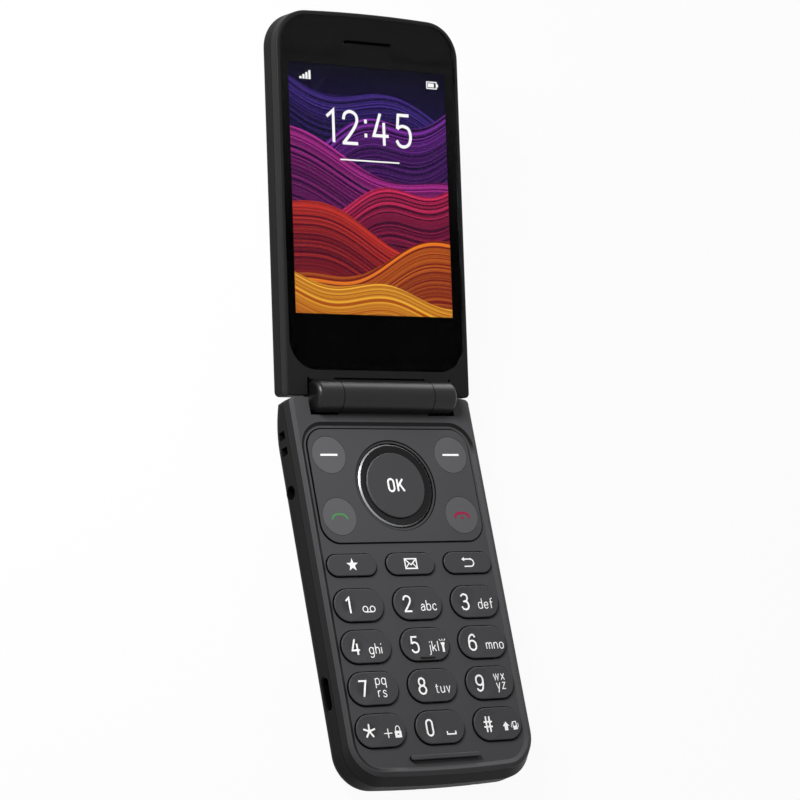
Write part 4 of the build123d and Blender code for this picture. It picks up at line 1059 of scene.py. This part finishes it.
PICTURE_BANDS = (
    # edge height, slope, wave height, wave length, wave start, strand start, bright colour, dark colour
    (77.0, -0.22, 2.6, 46.0, 0.4, 3.0, (74, 46, 150), (10, 8, 28)),
    (69.0, 0.26, 3.0, 38.0, 2.0, 11.0, (132, 48, 170), (20, 8, 40)),
    (60.0, -0.24, 2.8, 52.0, 4.2, 23.0, (192, 48, 156), (34, 8, 46)),
    (51.0, 0.20, 2.4, 34.0, 1.1, 31.0, (216, 44, 92), (52, 8, 36)),
    (42.5, -0.30, 2.6, 44.0, 3.3, 47.0, (228, 60, 42), (70, 8, 28)),
    (34.5, 0.24, 2.2, 40.0, 5.4, 59.0, (240, 128, 32), (110, 26, 20)),
    (28.0, -0.14, 1.6, 36.0, 0.9, 71.0, (250, 196, 58), (164, 74, 18)),
)


def picture_finish():
    """Lit display with layered waves of fine strands, from a dark sky down to a bright foreground."""
    finish = Finish("display_picture")
    across, up, _ = lid_place(finish)
    colour = finish.blend(up.rise(66.0, 86.0), four(screen_colour(22, 14, 56)), four(screen_colour(4, 4, 14)))
    for edge, slope, height, length, start, strand_start, bright, dark in PICTURE_BANDS:
        wave = (across * (2 * math.pi / length) + start).maths("SINE") * height + edge
        below = across * slope + wave - up
        along = (across * 0.11).maths("SINE") * 0.5 + below
        links = {"W": along + strand_start, "Scale": 1.2, "Detail": 2.0, "Roughness": 0.7}
        strands = finish.value("ShaderNodeTexNoise", links, "Fac", noise_dimensions="1D")
        share = strands.rise(0.38, 0.68) * below.spread(1.0, 0.3, 0.0, 9.0)
        band = finish.blend(share, four(screen_colour(*dark)), four(screen_colour(*bright)))
        colour = finish.blend(below.rise(0.0, 0.15), colour, band)
    finish.set(Base_Color=(0.004, 0.004, 0.005, 1), Emission_Color=colour, Emission_Strength=1.0, Roughness=0.5,
               Specular_IOR_Level=0.0)
    return finish.material


CONTACT_COUNT = 12
CONTACT_SIZE = (3.4 * MM, 0.26 * MM, 0.76 * MM)
CONTACT_PLACE = 3.2 * MM
EAR_WEAVE = (13.0 * MM, 0.6 * MM)
SPEAKER_WEAVE = (12.4 * MM, 5.6 * MM)
SPEAKER_DEPTH = 0.25 * MM
BEZEL = [(3.1, -0.1), (3.1, 0.16), (2.9, 0.24), (2.5, 0.2), (1.7, 0.04), (1.7, -0.1)]
GLASS = [(1.68, -0.05), (1.68, 0.05), (1.2, 0.13), (0.6, 0.18), (0, 0.19)]


class PHONE_OT_sockets(bpy.types.Operator):
    """Finishes the sockets, both sound meshes, the camera and the torch, and adds their small pieces"""

    bl_idname = "phone.sockets"
    bl_label = "Sockets and lenses"

    def execute(self, context):
        black = moulded("insert_black", screen_colour(7, 7, 7), 0.5, 0.1)
        dressed(black, "audio_jack", "loudspeaker", "earpiece", "camera_module")
        wire = moulded("mesh_wire", screen_colour(2, 2, 2), 0.7, 0.0)
        dressed(wire, "earpiece_mesh")
        # The steel's dark tone is partly painted shade, standing in for the shade down in the charging socket
        steel = metal("socket_steel", (40, 40, 42), 0.4)
        dressed(steel, "usb_socket", "sim_socket", "vibration_motor", "base_screws")
        gold = metal("contact_gold", (214, 170, 88), 0.3)
        dressed(gold, "dock_contacts", "battery_contacts")
        dressed(frosted(), "torch_lens")
        self.contacts(gold)
        self.meshes(wire)
        self.camera()
        return {"FINISHED"}

    def contacts(self, gold):
        """Contacts on the tongue of the charging socket."""
        middle = middle_of("usb_socket")
        middle.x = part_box("usb_socket")[0].x + CONTACT_PLACE
        piece = repeated("socket_contacts", repeat_tree("contact_row", False), Matrix.Translation(middle), 0.02 * MM,
                         columns=1, rows=CONTACT_COUNT, column_pitch=0.0, row_pitch=sizes().contact_pitch,
                         piece_size=CONTACT_SIZE, turn=(0, 0, 0), material=gold)
        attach(piece, "base")

    def meshes(self, material):
        """Woven wire in the earpiece slot and behind the loudspeaker's slots."""
        wire, pitch = sizes().wire, sizes().wire_pitch
        bars = repeat_tree("wire_rows", True)
        ear = in_lid(middle_of("earpiece_mesh"))
        ear.z = lid_level("earpiece_mesh", max) - wire / 2
        self.weave("earpiece_weave", bars, LID_FRAME @ Matrix.Translation(ear), *EAR_WEAVE, wire, pitch, material,
                   "lid")
        speaker = middle_of("loudspeaker")
        speaker.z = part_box("loudspeaker")[0].z - SPEAKER_DEPTH
        self.weave("speaker_weave", bars, Matrix.Translation(speaker), *SPEAKER_WEAVE, wire * 1.4, pitch * 1.8,
                   material, "base")

    def weave(self, name, bars, matrix, length, width, wire, pitch, material, body):
        """Wires both ways over a rectangle."""
        across = repeated(name + "_across", bars, matrix, columns=round(length / pitch), rows=1, column_pitch=pitch,
                          row_pitch=0.0, piece_size=(wire, wire, width), turn=(math.pi / 2, 0, 0), material=material)
        along = repeated(name + "_along", bars, matrix @ Matrix.Translation((0, 0, wire)), columns=1,
                         rows=round(width / pitch) + 1, column_pitch=0.0, row_pitch=pitch * 0.9,
                         piece_size=(wire, wire, length), turn=(0, math.pi / 2, 0), material=material)
        for piece in (across, along):
            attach(piece, body)

    def camera(self):
        """Stepped bezel and glass of the camera."""
        matrix = lid_back("camera_module")
        bezel = turned("camera_bezel", BEZEL, matrix, metal("camera_rim", (120, 120, 124), 0.3))
        glass = turned("camera_glass", GLASS, matrix, lens_finish())
        for piece in (bezel, glass):
            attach(piece, "lid")


def lens_finish():
    """Dark coated camera glass."""
    finish = Finish("camera_glass_dark")
    tint = finish.blend(finish.noise(600.0), (0.004, 0.004, 0.009, 1), (0.008, 0.007, 0.016, 1))
    finish.set(Base_Color=tint, Roughness=0.05, Coat_Weight=0.6, Coat_Roughness=0.03)
    return finish.material


def frosted():
    """Frosted clear plastic."""
    finish = Finish("torch_frosted")
    fine = finish.noise(3500.0)
    finish.set(Base_Color=finish.blend(fine, (0.62, 0.6, 0.5, 1), (0.8, 0.78, 0.7, 1)),
               Roughness=fine.spread(0.25, 0.45))
    finish.bump(fine, 0.03 * MM, 0.4)
    return finish.material


class PHONE_OT_insides(bpy.types.Operator):
    """Finishes the pieces that are hidden inside"""

    bl_idname = "phone.insides"
    bl_label = "Insides"

    def execute(self, context):
        dressed(moulded("board_green", screen_colour(28, 92, 60), 0.4, 0.4), "main_board", "lid_board")
        dressed(metal("dome_steel", (190, 190, 190), 0.35), "dome_sheet")
        dressed(moulded("cell_wrap", screen_colour(52, 54, 60), 0.35, 0.4), "battery")
        dressed(moulded("mat_rubber", screen_colour(46, 46, 46), 0.7, 0.2), "keypad_mat", "nav_web", "microphone")
        return {"FINISHED"}


class PHONE_OT_stage(bpy.types.Operator):
    """Sets up the floor, the lamps, the white surroundings and the camera"""

    bl_idname = "phone.stage"
    bl_label = "Stage"

    def execute(self, context):
        scene = context.scene
        scene.view_settings.view_transform = "Standard"
        self.floor()
        self.surroundings(scene)
        for lamp in LAMPS:
            self.lamp(*lamp)
        self.camera(scene)
        return {"FINISHED"}

    def floor(self):
        """A pale floor that stays white to the eye and keeps a soft shadow."""
        half = sizes().floor / 2
        mesh = bpy.data.meshes.new("studio_floor")
        mesh.from_pydata([(x, y, 0) for x, y in rectangle(-half, -half, half, half)], [], [(0, 1, 2, 3)])
        finish = Finish("floor_pale")
        finish.set(Base_Color=finish.uneven(finish.noise(8.0), colours().floor, 0.99, 1.0), Roughness=0.9,
                   Specular_IOR_Level=0.0)
        glow = finish.add("ShaderNodeEmission", {"Color": WHITE, "Strength": 1.0})
        finish.show(finish.seen() * 0.95, finish.shader, glow, "Material Output")
        mesh.materials.append(finish.material)
        shown(bpy.data.objects.new("studio_floor", mesh))

    def surroundings(self, scene):
        """White to the eye and in reflections, dimmer as light."""
        world = bpy.data.worlds.new("studio_white")
        world.use_nodes = True
        scene.world = world
        nodes = Nodes(world.node_tree)
        dim, white = nodes.tree.nodes["Background"], nodes.add("ShaderNodeBackground")
        for light, strength in ((dim, 0.08), (white, 1.0)):
            nodes.join(WHITE, light.inputs["Color"])
            nodes.join(strength, light.inputs["Strength"])
        nodes.show(nodes.seen(), dim, white, "World Output")

    def lamp(self, name, place, target, size, power):
        """A square soft lamp turned to a point."""
        light = bpy.data.lights.new(name, "AREA")
        light.size, light.energy = size, power
        holder = shown(bpy.data.objects.new(name, light))
        holder.location = place
        holder.rotation_euler = (Vector(target) - Vector(place)).to_track_quat("-Z", "Y").to_euler()

    def camera(self, scene):
        """The photograph's viewpoint."""
        lens = bpy.data.cameras.new("photo_camera")
        lens.sensor_width, lens.lens = SENSOR_WIDTH, FOCAL_LENGTH
        lens.clip_start, lens.clip_end = 0.05, 20.0
        right = CAMERA_RIGHT.normalized()
        back = right.cross(CAMERA_UP).normalized()
        turn = Matrix((right, back.cross(right), back)).transposed().to_4x4()
        scene.camera = shown(bpy.data.objects.new("photo_camera", lens))
        scene.camera.matrix_world = Matrix.Translation(CAMERA_PLACE) @ turn


class PHONE_PT_looks(bpy.types.Panel):
    """Lists the steps, sizes and colours of the phone"""

    bl_idname = "PHONE_PT_looks"
    bl_label = "Phone"
    bl_space_type = "VIEW_3D"
    bl_region_type = "UI"
    bl_category = "Phone"

    def draw(self, context):
        for step in STEPS:
            self.layout.operator(step.bl_idname)
        for group in (context.scene.phone_sizes, context.scene.phone_colours):
            box = self.layout.box()
            for name in group.__annotations__:
                box.prop(group, name)


STEPS = (PHONE_OT_shells, PHONE_OT_hinge, PHONE_OT_keys, PHONE_OT_legends, PHONE_OT_display, PHONE_OT_sockets,
         PHONE_OT_insides, PHONE_OT_stage)
CLASSES = (PhoneSizes, PhoneColours, *STEPS, PHONE_PT_looks)


def register():
    for each in CLASSES:
        bpy.utils.register_class(each)
    bpy.types.Scene.phone_sizes = bpy.props.PointerProperty(type=PhoneSizes)
    bpy.types.Scene.phone_colours = bpy.props.PointerProperty(type=PhoneColours)


def unregister():
    del bpy.types.Scene.phone_colours
    del bpy.types.Scene.phone_sizes
    for each in reversed(CLASSES):
        bpy.utils.unregister_class(each)


def main():
    register()
    bpy.ops.phone.shells()
    bpy.ops.phone.hinge()
    bpy.ops.phone.keys()
    bpy.ops.phone.legends()
    bpy.ops.phone.display()
    bpy.ops.phone.sockets()
    bpy.ops.phone.insides()
    bpy.ops.phone.stage()


if __name__ == "__main__":
    main()
